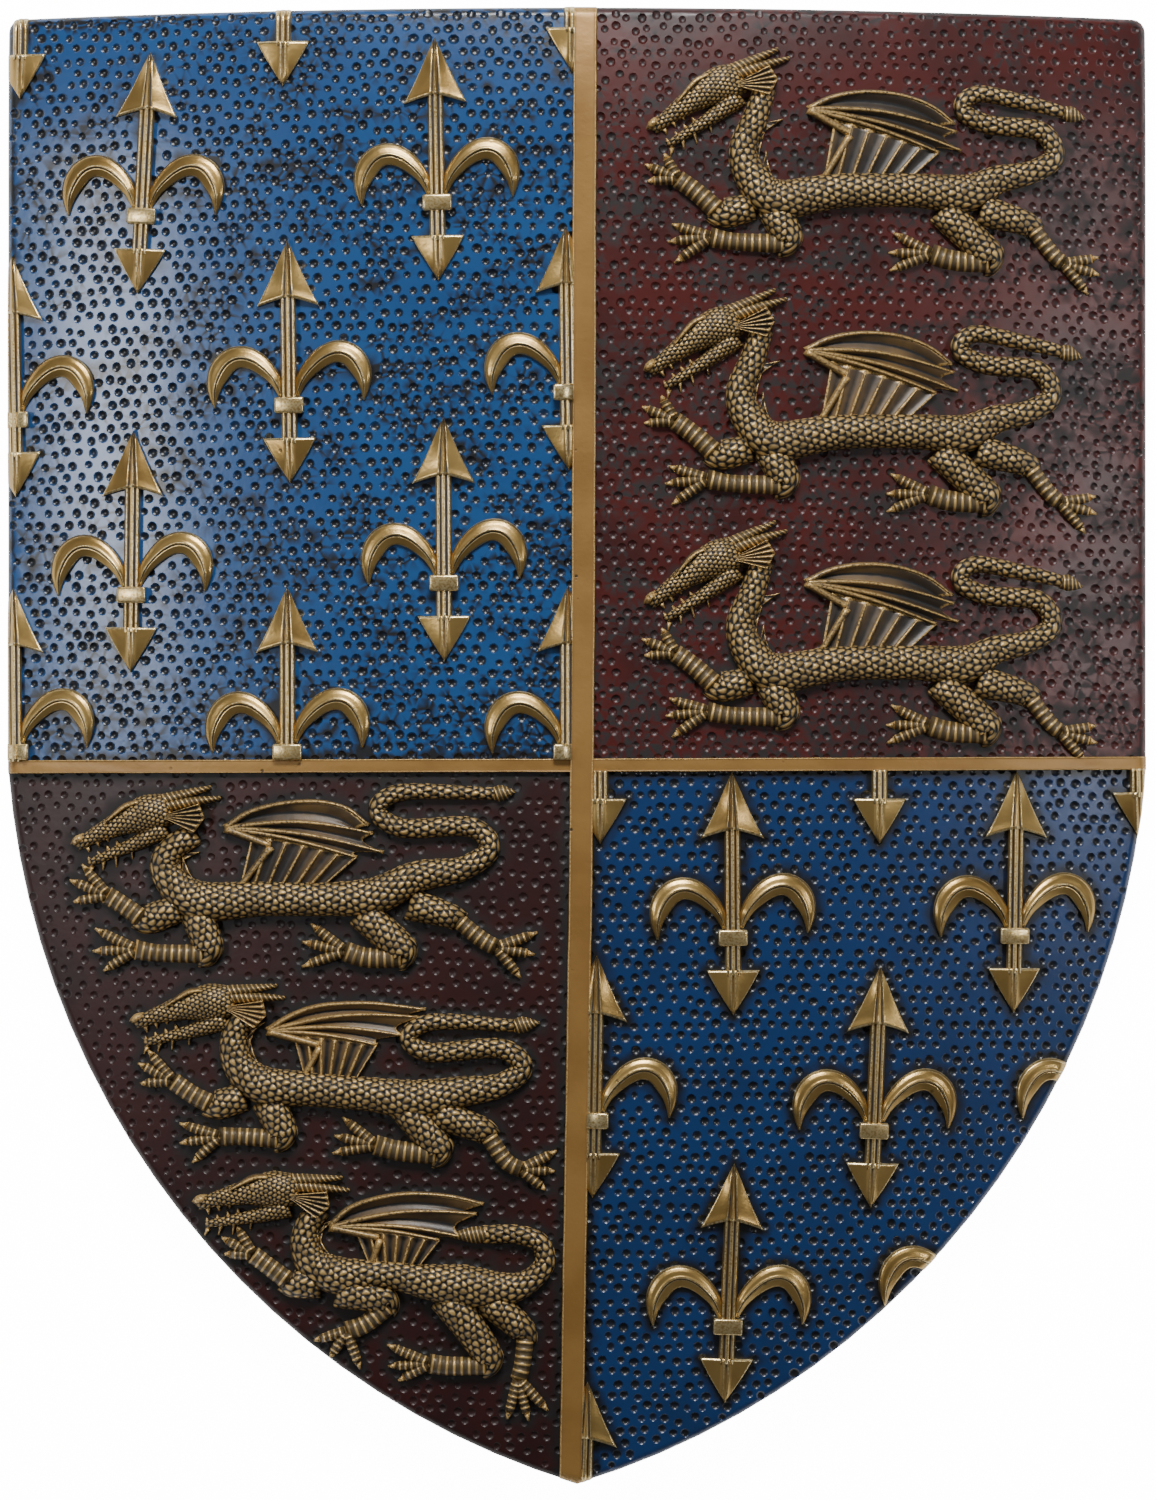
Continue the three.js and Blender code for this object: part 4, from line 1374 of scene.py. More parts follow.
@dataclass(frozen=True)
class Fleur:
    """A fleur-de-lis, measured from the middle of its collar: u to the right, v up."""

    head_tip: float = 51.0
    barb_v: float = 30.6
    head_width: float = 19.4
    head_notch: float = 2.7
    shaft_width: float = 5.0
    shaft_tuck: float = 1.5
    collar_width: float = 9.1
    collar_height: float = 5.0
    foot_top: float = 10.1
    foot_tip: float = 24.0
    foot_width: float = 16.3
    relief: float = 3.0
    collar_relief: float = 3.6
    edge_relief: float = 1.0
    petal_path: tuple[Station, ...] = (
        (2.2, 3.0, 1.0),
        (4.0, 8.0, 2.0),
        (7.6, 12.4, 2.8),
        (11.2, 15.3, 3.3),
        (15.4, 16.6, 3.6),
        (19.3, 15.3, 3.7),
        (22.1, 11.6, 3.5),
        (23.6, 6.6, 2.1),
        (23.2, 1.2, 0.25),
    )
    left_droop: float = 0.07

    def template(self) -> Mesh:
        """A whole fleur in plan.

        Returns:
            The fleur's mesh.
        """
        bm = self.foot_template()
        self._head(bm)
        self._collar(bm)
        for side in (-1, 1):
            self._petal(bm, side)
        return bm

    def foot_template(self) -> Mesh:
        """Its shaft and foot alone.

        Returns:
            Their mesh.
        """
        bm = bmesh.new()
        self._shaft(bm)
        self._foot(bm)
        return bm

    def petal_template(self) -> Mesh:
        """Its left petal alone.

        Returns:
            Its mesh.
        """
        bm = bmesh.new()
        self._petal(bm, -1)
        return bm

    def _head(self, bm: Mesh) -> None:
        """The arrowhead: two hollow faces, a thin ridge between them, and a hollow base.

        Args:
            bm: the fleur's mesh.
        """
        length = self.head_tip - self.barb_v - self.head_notch

        def shape(across: float, up: float) -> Station:
            """A place on the head."""
            t = (2 * across - 1) * abs(2 * across - 1) ** 0.6
            base = self.barb_v + self.head_notch * (1 - abs(t) ** 1.3)
            rise = up**0.92
            half = self.head_width / 2 * (1 - rise) * (1 - 0.06 * math.sin(math.pi * up))
            v = base + (self.head_tip - base) * rise
            slope = 1 - abs(t)
            height = self.edge_relief + (self.relief - self.edge_relief) * slope**1.35
            near = abs(t * half) / (0.4 + 0.6 * (1 - up))
            fade = min(1.0, (1 - up) * 6)
            height += 0.3 * math.exp(-((near / 0.5) ** 2)) * fade
            height -= 0.5 * math.exp(-(((near - 1.05) / 0.32) ** 2)) * fade
            lip = 0.3 * math.exp(-((up * length / 1.1) ** 2))
            return (t * half, v, height * (0.72 + 0.28 * (1 - up**3)) + lip)

        plate(bm, 36, 22, shape)

    def _shaft(self, bm: Mesh) -> None:
        """The shaft, with a bright ridge between two grooves.

        Args:
            bm: the fleur's mesh.
        """
        section = table_of(
            [
                (0, 1.0), (0.16, 0.97), (0.3, 0.7), (0.42, 0.68), (0.58, 0.86), (0.74, 0.84),
                (0.92, 0.5), (1, 0.12),
            ]
        )
        half = self.shaft_width / 2
        low = -self.foot_top - self.shaft_tuck
        high = self.barb_v + self.head_notch + self.shaft_tuck
        path = Path(((0, low, half), (0, high, half)))
        Ridge(path, lambda t, _: self.relief * section(abs(t)), step=1.6, columns=16).build(bm)

    def _collar(self, bm: Mesh) -> None:
        """The plain block that binds it.

        Args:
            bm: the fleur's mesh.
        """
        made = bmesh.ops.create_cube(bm, size=1.0)["verts"]
        tall = self.collar_relief + ROOT_DEPTH
        bmesh.ops.scale(bm, vec=(self.collar_width, self.collar_height, tall), verts=made)
        bmesh.ops.translate(bm, vec=(0, 0, self.collar_relief - tall / 2), verts=made)
        edges = list({e for v in made for e in v.link_edges if max(w.co.z for w in e.verts) > 0})
        bmesh.ops.bevel(
            bm, geom=edges, offset=0.7, affect="EDGES", segments=3, profile=0.5, material=-1
        )

    def _foot(self, bm: Mesh) -> None:
        """The foot: a triangle with a groove between two ridges down its middle.

        Args:
            bm: the fleur's mesh.
        """

        def shape(across: float, up: float) -> Station:
            """A place on the foot."""
            t = (2 * across - 1) * abs(2 * across - 1) ** 0.6
            half = self.foot_width / 2 * (1 - up) * (1 + 0.05 * math.sin(math.pi * up))
            v = -self.foot_top - (self.foot_tip - self.foot_top) * up
            height = self.edge_relief + (self.relief - 0.4 - self.edge_relief) * (1 - abs(t)) ** 1.2
            near = abs(t * half)
            height += 0.3 * math.exp(-(((near - 0.75) / 0.4) ** 2))
            height -= 0.45 * math.exp(-((near / 0.35) ** 2))
            return (-t * half, v, height * (0.75 + 0.25 * (1 - up**3)))

        plate(bm, 34, 16, shape)

    def _petal(self, bm: Mesh, side: int) -> None:
        """A side petal: a broad outer bevel, a crisp crease and a hollow inner face.

        Args:
            bm: the fleur's mesh.
            side: -1 for the left one, 1 for the right one.
        """
        section = table_of(
            [
                (-1.0, 0.12), (-0.93, 0.4), (-0.6, 0.6), (-0.3, 0.78), (-0.2, 0.72), (-0.1, 1.0),
                (0.0, 1.0), (0.12, 0.92), (0.5, 0.8), (0.8, 0.62), (0.93, 0.4), (1.0, 0.12),
            ]
        )
        droop = self.left_droop if side < 0 else 0.0
        path = Path(tuple((side * u, v - droop * u, half) for u, v, half in self.petal_path))
        stations = path.sampled(1.0)
        total = stations[-1][3]

        def relief(share: float, run: float) -> float:
            """The petal's height."""
            taper = min(1.0, 0.45 + run / 9, 0.3 + (total - run) / 8)
            return self.relief * section(share * side) * taper

        Ridge(path, relief, step=0.9, columns=30, smoothing=8).build(bm)


CHIEF_FLEURS: tuple[Station, ...] = (
    (-174, 227, 0), (-90.8, 228.6, 0), (-1.5, 232, 0), (-135.1, 165.2, 3), (-43, 168, -1),
    (-175.7, 102.7, -1), (-88.8, 106, -0.7), (-2.8, 109.6, -0.7), (-138.3, 47.8, 0.7),
    (-40.9, 51, -0.3), (-175.7, -0.9, -0.5), (-89.4, -0.9, 0), (-2.8, -0.9, 0),
)
BASE_FLEURS: tuple[Station, ...] = (
    (7.1, -5.2, 0), (93.4, -5.2, 0), (175.1, -3.4, -1), (48, -58.1, -0.4), (135.9, -58, 0.7),
    (5.2, -114.5, 1), (91.9, -118.2, 2.1), (46.7, -178.9, 2.1), (1.5, -247, 2),
)
LONE_PETALS: tuple[Station, ...] = ((162, -115.5, 2), (119, -173.5, 2))


@dataclass(frozen=True)
class FleurRows:
    """All the fleurs of one quarter, cut off at its edges."""

    quarter: Quarter
    spots: tuple[Station, ...]
    lone_petals: tuple[Station, ...] = ()
    feet_first: int = 3

    def build(self, shop: Workshop) -> None:
        """Make a piece of each fleur.

        Args:
            shop: where the fleurs are finished.
        """
        whole = Fleur().template()
        foot = Fleur().foot_template()
        petal = Fleur().petal_template()
        cuts = charge_cuts(self.quarter)
        jobs = [("fleur", foot, spot) for spot in self.spots[: self.feet_first]]
        jobs += [("fleur", whole, spot) for spot in self.spots[self.feet_first :]]
        jobs += [("petal", petal, spot) for spot in self.lone_petals]
        for number, (kind, source, (x, y, lean)) in enumerate(jobs, 1):
            bm = source.copy()
            turn = Matrix.Rotation(-math.radians(lean), 4, "Z")
            bmesh.ops.transform(bm, matrix=Matrix.Translation((x, y, 0)) @ turn, verts=bm.verts)
            bmesh.ops.recalc_face_normals(bm, faces=bm.faces)
            cut_away(bm, cuts, fill=True)
            if not bm.faces:
                bm.free()
                continue
            shop.note_charge(self.quarter, bm)
            name = f"{kind}_{self.quarter.label}_{number:02d}"
            shop.finish_piece(name, bm, FLEUR_GOLD, foot_shade_line=0.75)
        for source in (whole, foot, petal):
            source.free()


# ---- dragons


@dataclass(frozen=True)
class Leg:
    """A leg: its limb down to the paw, and the tips of its three toes."""

    limb: tuple[Station, ...]
    toes: tuple[Point, ...]


@dataclass(frozen=True)
class Wing:
    """A wing: its joint, leading edge, finger tips, and where it meets the back."""

    joint: Point
    arch: tuple[Point, ...]
    tips: tuple[Point, ...]
    back: Point
    foot: Point
    elbow: Point


@dataclass(frozen=True)
class Pose:
    """How a dragon stands, in hundredths of its length from its foremost claws and its back."""

    name: str
    eye: Point
    dip: float
    spine: tuple[Station, ...]
    tail_tip: Point
    legs: tuple[Leg, ...]
    wing: Wing


TALL = Pose(
    "tall", (11.7, 22.3), 40,
    (
        (26.5, 22.6, 2.4), (24.1, 15.5, 2.8), (21.5, 8.6, 3.1), (23.7, 2.6, 3.8), (28, -1.5, 4.3),
        (42, 0.3, 3.8), (58, 0.7, 3.7), (71, 0.4, 4.1), (77, 3.4, 3.1), (84.4, 5.2, 2.5),
        (89.7, 8.8, 2.3), (87.3, 13.8, 2.2), (74.2, 15.5, 2.1), (69, 18.6, 2), (71.6, 21.7, 1.9),
        (82.8, 20.4, 1.7), (92.5, 18.3, 1.3),
    ),
    (96.5, 17.2),
    (
        Leg(((28, -3.2, 3.8), (31.6, -11.2, 3.2), (19.4, -10.8, 1.9), (14.4, -9.9, 2.2)),
            ((6.2, -7.2), (5.4, -11), (6.8, -15.6))),
        Leg(((24, -3.2, 3), (16.6, -4.7, 3.3), (11.2, 0, 2), (7.5, 2.6, 2)),
            ((4.6, 8), (0.4, 5.6), (0.9, 2))),
        Leg(((64.5, -3.2, 3.6), (76.3, -14.6, 3.4), (66.7, -14.2, 2.2), (62.4, -12.9, 2.2)),
            ((54.2, -8.6), (53.1, -12.9), (53.3, -16.8))),
        Leg(((73.1, -3.2, 3.6), (84.5, -6.5, 2.6), (89.7, -12.9, 1.7), (91.8, -14.5, 1.7)),
            ((97.2, -21.1), (99.8, -16.8), (99.6, -12.9))),
    ),
    Wing((35.6, 17.8), ((42.3, 20.9), (51.2, 21.7), (57.9, 20.7), (63.7, 18.3)),
         ((67.7, 15.1), (69, 9.4), (64.2, 8.9)), (57, 2.5), (39.1, 3), (44.9, 12.5)),
)

LOW = Pose(
    "low", (12.3, 18.1), 30,
    (
        (27.7, 13.6, 2.6), (22.5, 10.2, 2.9), (20.6, 6.6, 3.2), (23.2, 2, 3.8), (28, -1, 4.3),
        (42, -0.6, 3.8), (56.6, -0.6, 3.7), (66.9, 0.2, 4), (75.7, 4.3, 3.4), (86, 6.2, 2.6),
        (91.6, 10.5, 2.3), (88.5, 14.6, 2.2), (71.4, 15, 2.1), (67, 18.5, 2), (70, 21.8, 1.9),
        (93, 22.2, 1.3),
    ),
    (97, 22.6),
    (
        Leg(((27.5, -3, 3.8), (30.5, -12.6, 3.2), (18.9, -12.5, 1.9), (14.2, -11.8, 2.2)),
            ((5.2, -7.3), (4.7, -12.3), (7.1, -16.6))),
        Leg(((24, -2.6, 3.2), (16.1, -5.4, 3.2), (12.2, -2.6, 2), (8, 0, 2)),
            ((2.4, 6.7), (-0.4, 3.2), (0.4, -1.6))),
        Leg(((63.5, -3.2, 3.6), (73.6, -12.9, 3.4), (64.5, -13.2, 2.2), (60, -11.8, 2.2)),
            ((52.7, -5.9), (50.8, -9.9), (50.8, -15.3))),
        Leg(((74, -1.5, 3.6), (84.1, -4.7, 2.6), (90.1, -9.5, 1.8), (93, -11, 1.8)),
            ((98.1, -17.6), (101.1, -12.5), (101.7, -7.7))),
    ),
    Wing((34, 14.6), ((39.4, 18.1), (50.3, 20.4), (60, 19.4)),
         ((65.4, 15.3), (68.6, 9.5), (62.8, 8.4)), (55.3, 2), (37.4, 2), (44.3, 10.8)),
)

LONG = Pose(
    "long", (11.8, 19.8), 22,
    (
        (26, 16.4, 2.4), (22.6, 14, 2.7), (21.5, 10, 3), (22.8, 5, 3.6), (27.5, 1.1, 4.2),
        (38, 0.2, 3.8), (51, -0.8, 3.7), (61.5, -1.9, 4.3), (70.8, -0.2, 3.4), (79.4, 1.3, 2.6),
        (84.4, 5.2, 2.3), (80.4, 9, 2.2), (63.2, 8.5, 2.1), (59.3, 11.4, 2), (62.5, 14.4, 1.9),
        (83.2, 14.2, 1.3),
    ),
    (88, 14.8),
    (
        Leg(((29, -2.2, 3.8), (32.5, -10.8, 3.2), (22.5, -10.3, 1.9), (18.3, -10.4, 2.2)),
            ((9.5, -7.6), (9.5, -12), (12.3, -16.3))),
        Leg(((24, -1.5, 3.2), (17, -3.6, 3.2), (12.3, -1.2, 2), (8, 1.7, 2)),
            ((2.6, 8.4), (0.4, 5.4), (0.9, 0.9))),
        Leg(((58.5, -3.2, 3.6), (66.8, -13.8, 3.4), (57, -13, 2.2), (52.3, -11.8, 2.2)),
            ((45.2, -5.8), (43.4, -9.9), (43, -13.8))),
        Leg(((64.7, -4.5, 3.6), (76.3, -9, 2.8), (81, -15.6, 1.8), (84, -17, 1.8)),
            ((89.2, -21.5), (91.2, -17.4), (91.6, -12.9))),
    ),
    Wing((28.8, 12.7), ((37, 17.4), (49.9, 18.9)),
         ((63.4, 17.6), (58.5, 12), (52.9, 9.9)), (48, 2), (37, 3), (40.6, 9.7)),
)

CROUCHED = Pose(
    "crouched", (12.3, 20.2), 18,
    (
        (27, 15, 2.5), (24.2, 11.4, 2.7), (23.4, 7.1, 3.1), (25.4, 2.6, 3.8), (30.3, 0.3, 4.2),
        (41, 0.5, 3.1), (49.7, -0.9, 3.8), (57.6, -1.9, 4.8), (67.3, -2.4, 3.6),
        (72.4, -0.5, 2.6), (75.6, 3.4, 2.3), (74.6, 7.6, 2.2), (69.5, 9.5, 2.1), (62, 9.4, 2),
    ),
    (54.4, 9.2),
    (
        Leg(((30.3, -3, 3.8), (42.4, -5.6, 3), (36.5, -10.4, 2), (32.5, -12, 2.2)),
            ((25.3, -14.2), (28.8, -18), (35.5, -20.4))),
        Leg(((27, -1.6, 3.2), (20.2, -1.5, 3.2), (16.2, 1.5, 2), (12, 4.6, 2)),
            ((8.6, 10.8), (5.2, 8.2), (5.8, 4.5))),
        Leg(((54, -4, 4), (60.6, -12.8, 3.6), (64, -19.2, 3), (54.5, -19.4, 2.1),
             (50.4, -18.9, 2.2)),
            ((41.3, -14.8), (41.5, -19.6), (43.7, -22.8))),
        Leg(((63, -4.5, 3.8), (71.4, -12.4, 2.8), (70.6, -19.3, 1.8), (69.8, -22.3, 1.8)),
            ((67.3, -31.2), (72, -31.4), (76.3, -29.2))),
    ),
    Wing((28.8, 10.8), ((33.5, 15.1), (44.3, 18.1), (55.1, 17.8)),
         ((62.4, 16.1), (57.6, 9), (52.9, 8.2)), (48, 2), (37.8, 2), (40, 8.6)),
)


DRAGON_PLACES = (
    (20.2, 171.6, TALL, Quarter.CHIEF_RIGHT),
    (19.3, 97.2, TALL, Quarter.CHIEF_RIGHT),
    (19.4, 25.8, TALL, Quarter.CHIEF_RIGHT),
    (-157.6, -45.4, LOW, Quarter.BASE_LEFT),
    (-137.2, -105.4, LONG, Quarter.BASE_LEFT),
    (-118.0, -163.5, CROUCHED, Quarter.BASE_LEFT),
)


class Hide(Enum):
    """What covers a limb; each kind's value is stored for the finish to read."""

    SCALES = 1.0
    RINGS = 0.5
    RIBS = 0.6
    SMOOTH = 0.0


@dataclass(frozen=True)
class HideRelief:
    """The relief of a limb's cover over its rounded form."""

    kind: Hide
    half: Callable[[float], float]
    pitch: float = 2.3
    deep: float = 0.5
    skin: float = 1.2
    swell: float = 0.85

    def marks(self, share: float, run: float) -> Station:
        """The place among scales or rings, along and across, and the kind of cover.

        Args:
            share: the share across, -1 to 1.
            run: the distance along, in mm.

        Returns:
            The three marks.
        """
        along = run / self.pitch
        if self.kind is Hide.SCALES:
            around = math.asin(max(-1.0, min(1.0, share))) * max(self.half(run), 0.1)
            across = around / self.pitch
            wobble = 0.16 * math.sin(run * 0.9 + across * 2.3)
            return (along * 1.1 + wobble, across + 0.12 * math.sin(run * 0.55), self.kind.value)
        if self.kind is Hide.RIBS:
            return (along + share * 0.5 + 0.5, 0.0, self.kind.value)
        return (along + 0.5, 0.0, self.kind.value)

    def __call__(self, share: float, run: float) -> float:
        """The height at a share across and a distance along.

        Args:
            share: the share across, -1 to 1.
            run: the distance along, in mm.

        Returns:
            The height there, in mm.
        """
        body = dome(share, 2.2)
        height = (self.skin + self.swell * self.half(run)) * body
        along, across, _ = self.marks(share, run)
        row = math.floor(along)
        part = along - row - 0.5
        if self.kind is Hide.SCALES:
            across += 0.5 * (row % 2)
            column = math.floor(across)
            aside = across - column - 0.5
            chance = math.sin(row * 12.99 + column * 78.23) * 437.5
            chance -= math.floor(chance)
            lean = part + 0.45 * abs(aside)
            bead = math.sqrt(max(0.0, 1 - 3.4 * (lean * lean * 0.8 + aside * aside)))
            scale = bead * (1 - 0.35 * lean) * (0.75 + 0.5 * chance) - 0.55
            height += self.deep * scale * (0.35 + 0.65 * body)
        elif self.kind is not Hide.SMOOTH:
            wave = 0.5 + 0.5 * math.cos(2 * math.pi * part)
            height += self.deep * (wave**1.5 - 0.5) * (0.4 + 0.6 * body)
        return max(0.05, height)


@dataclass(frozen=True)
class Dragon:
    """A walking dragon in relief."""

    number: int
    x: float
    y: float
    pose: Pose
    quarter: Quarter
    length: float = 143.0
    ear: tuple[Point, ...] = ((-6.2, -4.6), (-14.9, -6.5), (-14.4, -9.8), (-10.9, -11.3))

    @property
    def scale(self) -> float:
        """Millimetres in a hundredth of its length."""
        return self.length / 100

    def place(self, spot: Point) -> Point:
        """A point of the pose, on the shield."""
        return (self.x + spot[0] * self.scale, self.y + spot[1] * self.scale)

    def station(self, at: Station) -> Station:
        """A point of the pose with its half width, on the shield."""
        return (*self.place((at[0], at[1])), at[2] * self.scale)

    def from_eye(self, along: float, up: float) -> Point:
        """A point of the head, from the eye towards the snout and up, as a point of the pose.

        Args:
            along: how far towards the snout.
            up: how far up.

        Returns:
            The point.
        """
        dip = math.radians(self.pose.dip)
        return (
            self.pose.eye[0] - along * math.cos(dip) - up * math.sin(dip),
            self.pose.eye[1] - along * math.sin(dip) + up * math.cos(dip),
        )

    def limb(
        self, bm: Mesh, points: Sequence[Station], kind: Hide, **relief: float
    ) -> None:
        """Add a limb of the dragon's own points with its cover.

        Args:
            bm: the dragon's mesh.
            points: the limb's points with half widths, in the pose's measure.
            kind: what covers it.
            relief: the cover's own sizes.
        """
        path = Path(tuple(self.station(p) for p in points))
        stations = path.sampled(1.0)
        runs = [s[3] for s in stations]
        halves = [s[2] for s in stations]
        widest = max(halves)
        cap = min(widest, runs[-1] / 2.2)

        def half(run: float) -> float:
            """The limb's half width at a distance along."""
            return float(np.interp(run, runs, halves))

        fine = kind is not Hide.SMOOTH
        columns = max(8, int(widest * math.pi / (0.6 if fine else 0.9)))
        cover = HideRelief(kind, half, **relief)

        def rounded(share: float, run: float) -> float:
            """The cover with its two ends rounded down."""
            near = min(run, runs[-1] - run) / cap
            end = math.sqrt(max(0.0, 1 - (1 - min(1.0, near)) ** 2))
            return max(0.05, cover(share, run) * (0.12 + 0.88 * end))

        step = 0.55 if fine else 0.9
        Ridge(path, rounded, step, min(columns, 30), smoothing=4, marks=cover.marks).build(bm)

    def build(self, shop: Workshop) -> None:
        """Make the dragon.

        Args:
            shop: where the dragon is finished.
        """
        bm = bmesh.new()
        for name in COVER_MARKS:
            bm.verts.layers.float.new(name)
        self._body(bm)
        for leg in self.pose.legs:
            self._leg(bm, leg)
        self._wing(bm)
        self._head(bm)
        bmesh.ops.recalc_face_normals(bm, faces=bm.faces)
        cut_away(bm, charge_cuts(self.quarter), fill=True)
        shop.note_charge(self.quarter, bm)
        shop.finish_piece(f"dragon_{self.number}", bm, DRAGON_GILT, foot_shade_line=1.3)

    def _body(self, bm: Mesh) -> None:
        """Neck, trunk and tail in one run of scales, and the tail's tip.

        Args:
            bm: the dragon's mesh.
        """
        self.limb(bm, self.pose.spine, Hide.SCALES, deep=0.75)
        x, y, half = self.pose.spine[-1]
        half = min(half, 1.3)
        tip = self.pose.tail_tip
        start = (x - (tip[0] - x) / 4, y - (tip[1] - y) / 4, half * 0.9)
        barbs = (x + (tip[0] - x) * 0.15, y + (tip[1] - y) * 0.15, half * 1.45)
        self.limb(bm, (start, barbs, (*tip, 0.2)), Hide.RIBS, pitch=1.3, deep=0.8, skin=0.9)

    def _leg(self, bm: Mesh, leg: Leg) -> None:
        """A scaled thigh, a ringed shin, a palm and three knuckled toes with claws.

        Args:
            bm: the dragon's mesh.
            leg: the leg.
        """
        *upper, wrist, paw = leg.limb
        knee = upper[-1]
        self.limb(bm, (*upper, blend_station(knee, wrist, 0.18)), Hide.SCALES, deep=0.7)
        shin = (knee[0], knee[1], knee[2] * 0.68)
        self.limb(bm, (shin, wrist, paw), Hide.RINGS, pitch=2.3, deep=0.6)
        root = (paw[0], paw[1])
        for toe in leg.toes:
            knuckle = mix_point(root, toe, 0.3)
            nail = mix_point(root, toe, 0.8)
            path = ((*root, 1.3), (*knuckle, 1.25), (*nail, 0.95))
            self.limb(bm, path, Hide.RINGS, pitch=1.8, deep=0.9, skin=1.6)
            self.limb(bm, ((*nail, 0.8), (*toe, 0.2)), Hide.SMOOTH, skin=0.9)

    def _wing(self, bm: Mesh) -> None:
        """A pleated skin between finger bones that run from the joint.

        Args:
            bm: the dragon's mesh.
        """
        wing = self.pose.wing
        lead = Path(tuple((*p, 0.5) for p in (wing.joint, *wing.arch, wing.tips[0])))
        bones = self._bones(lead)
        high, low = 1.9, 0.7

        def shape(across: float, up: float) -> Station:
            """A place on the wing's skin."""
            count = len(bones) - 1
            place = across * count
            index = min(count - 1, int(place))
            part = place - index
            first = point_along(bones[index], up)
            second = point_along(bones[index + 1], up)
            droop = 0.1 * math.sin(math.pi * part) * up**2
            spot = mix_point(mix_point(first, second, part), wing.joint, droop)
            pleat = abs(math.cos(math.pi * part)) ** 1.4
            height = low + (high - low) * pleat * (0.4 + 0.6 * min(1.0, up * 4))
            return (*self.place(spot), height)

        plate(bm, 10 * (len(bones) - 1), 30, shape)
        for bone in bones:
            stations = [(*point_along(bone, k / 6), 0.8 - 0.4 * k / 6) for k in range(7)]
            self.limb(bm, stations, Hide.SMOOTH, skin=1.9)
        arm = (wing.joint, mix_point(wing.joint, wing.elbow, 0.6), wing.elbow)
        self.limb(bm, [(*p, 0.95) for p in arm], Hide.SMOOTH, skin=2.0)
        self.limb(bm, ((*wing.elbow, 1.0), (*wing.foot, 0.8)), Hide.SMOOTH, skin=2.0)
        self._lower_skin(bm, bones[-1])

    def _bones(self, lead: Path) -> list[list[Point]]:
        """The finger bones from the leading edge down to the arm.

        Args:
            lead: the leading edge.

        Returns:
            The points of each bone.
        """
        wing = self.pose.wing
        first = [(float(s[0].x), float(s[0].y)) for s in lead.sampled(3.0)]
        middle = mix_point(wing.tips[0], wing.tips[1], 0.5)
        bones = [first]
        ends = (mix_point(wing.tips[0], middle, 0.6), wing.tips[1], wing.tips[2])
        for tip, lift in zip(ends, (1.9, 1.3, 0.8)):
            bones.append([arched(wing.joint, tip, k / 8, lift) for k in range(9)])
        return bones

    def _lower_skin(self, bm: Mesh, bone: list[Point]) -> None:
        """The folded skin from the last bone down to the back.

        Args:
            bm: the dragon's mesh.
            bone: the last finger bone.
        """
        wing = self.pose.wing
        folds = 6

        def line(across: float) -> tuple[Point, Point]:
            """The ends of a line of the skin, from the bone down to the back."""
            start = mix_point(wing.elbow, bone[-1], across)
            top = mix_point(start, point_along(bone, 0.16 + 0.84 * across), 0.75)
            return top, mix_point(wing.foot, wing.back, across)

        def shape(across: float, up: float) -> Station:
            """A place on the folded skin."""
            top, bottom = line(across)
            fold = abs(math.sin(math.pi * folds * across)) ** 1.5
            return (*self.place(mix_point(top, bottom, up)), 0.8 + 1.0 * (1 - fold))

        for k in range(1, folds):
            top, bottom = line(k / folds)
            middle = mix_point(top, bottom, 0.6)
            rows = ((*top, 0.3), (*middle, 0.6), (*bottom, 0.45))
            self.limb(bm, rows, Hide.SMOOTH, skin=1.9)
        plate(bm, 40, 12, shape)

    def _head(self, bm: Mesh) -> None:
        """Skull, brow, jaws with teeth, eye, horns, beard and the pleated ear.

        Args:
            bm: the dragon's mesh.
        """

        def at(rows: Sequence[Station]) -> list[Station]:
            """Points measured from the eye, as points of the pose."""
            return [(*self.from_eye(along, up), half) for along, up, half in rows]

        skull = [
            (-9, -4.6, 3.3), (-4, -2.6, 4.0), (2, -1.5, 2.8), (8, -1.0, 1.8), (13.4, -0.9, 1.2),
        ]
        brow = [(-4, 0.2, 0.6), (-1, 1.1, 0.85), (2.6, 0.7, 0.7), (6, 0.0, 0.3)]
        nose = [(10.8, -0.1, 0.8), (12.7, 0.3, 1.2), (13.9, -0.4, 0.6)]
        jaw = [(-6, -7, 2.6), (1, -7, 1.7), (8, -6.2, 1.1), (13, -5.5, 0.8)]
        self.limb(bm, at(skull), Hide.SCALES, pitch=1.5, deep=0.7)
        self.limb(bm, at(brow), Hide.SMOOTH, skin=4.2)
        self.limb(bm, at(nose), Hide.SMOOTH, skin=2.2)
        self.limb(bm, at(jaw), Hide.SCALES, pitch=1.5, deep=0.6)
        for along in (4, 6.4, 8.8, 11.2):
            upper = [(along, -2.0, 0.7), (along + 0.3, -3.7, 0.1)]
            lower = [(along + 1.2, -5.6, 0.6), (along + 1.0, -4.2, 0.1)]
            self.limb(bm, at(upper), Hide.SMOOTH, skin=1.0)
            self.limb(bm, at(lower), Hide.SMOOTH, skin=0.9)
        for along, down in ((9.5, -8.6), (6.5, -9.4), (12.5, -7.8), (2.5, -9.6)):
            beard = [(along, -6.4, 0.6), (along + 1.4, down, 0.12)]
            self.limb(bm, at(beard), Hide.SMOOTH, skin=0.9)
        for horn in (
            [(-5, -0.8, 1.3), (-11, -2.6, 1.25), (-19, -4.7, 0.4)],
            [(-7, -2.8, 1.4), (-13, -5.0, 1.2), (-19.6, -7.8, 0.4)],
        ):
            self.limb(bm, at(horn), Hide.RIBS, pitch=1.5, deep=0.6, skin=1.6)
        self._ear(bm)
        self._eye(bm)
        self._fins(bm)

    def _eye(self, bm: Mesh) -> None:
        """The eye under the brow.

        Args:
            bm: the dragon's mesh.
        """
        x, y = self.place(self.from_eye(0.2, -0.6))
        made = bmesh.ops.create_icosphere(bm, subdivisions=2, radius=0.62 * self.scale)["verts"]
        bmesh.ops.translate(bm, vec=(x, y, 4.3), verts=made)

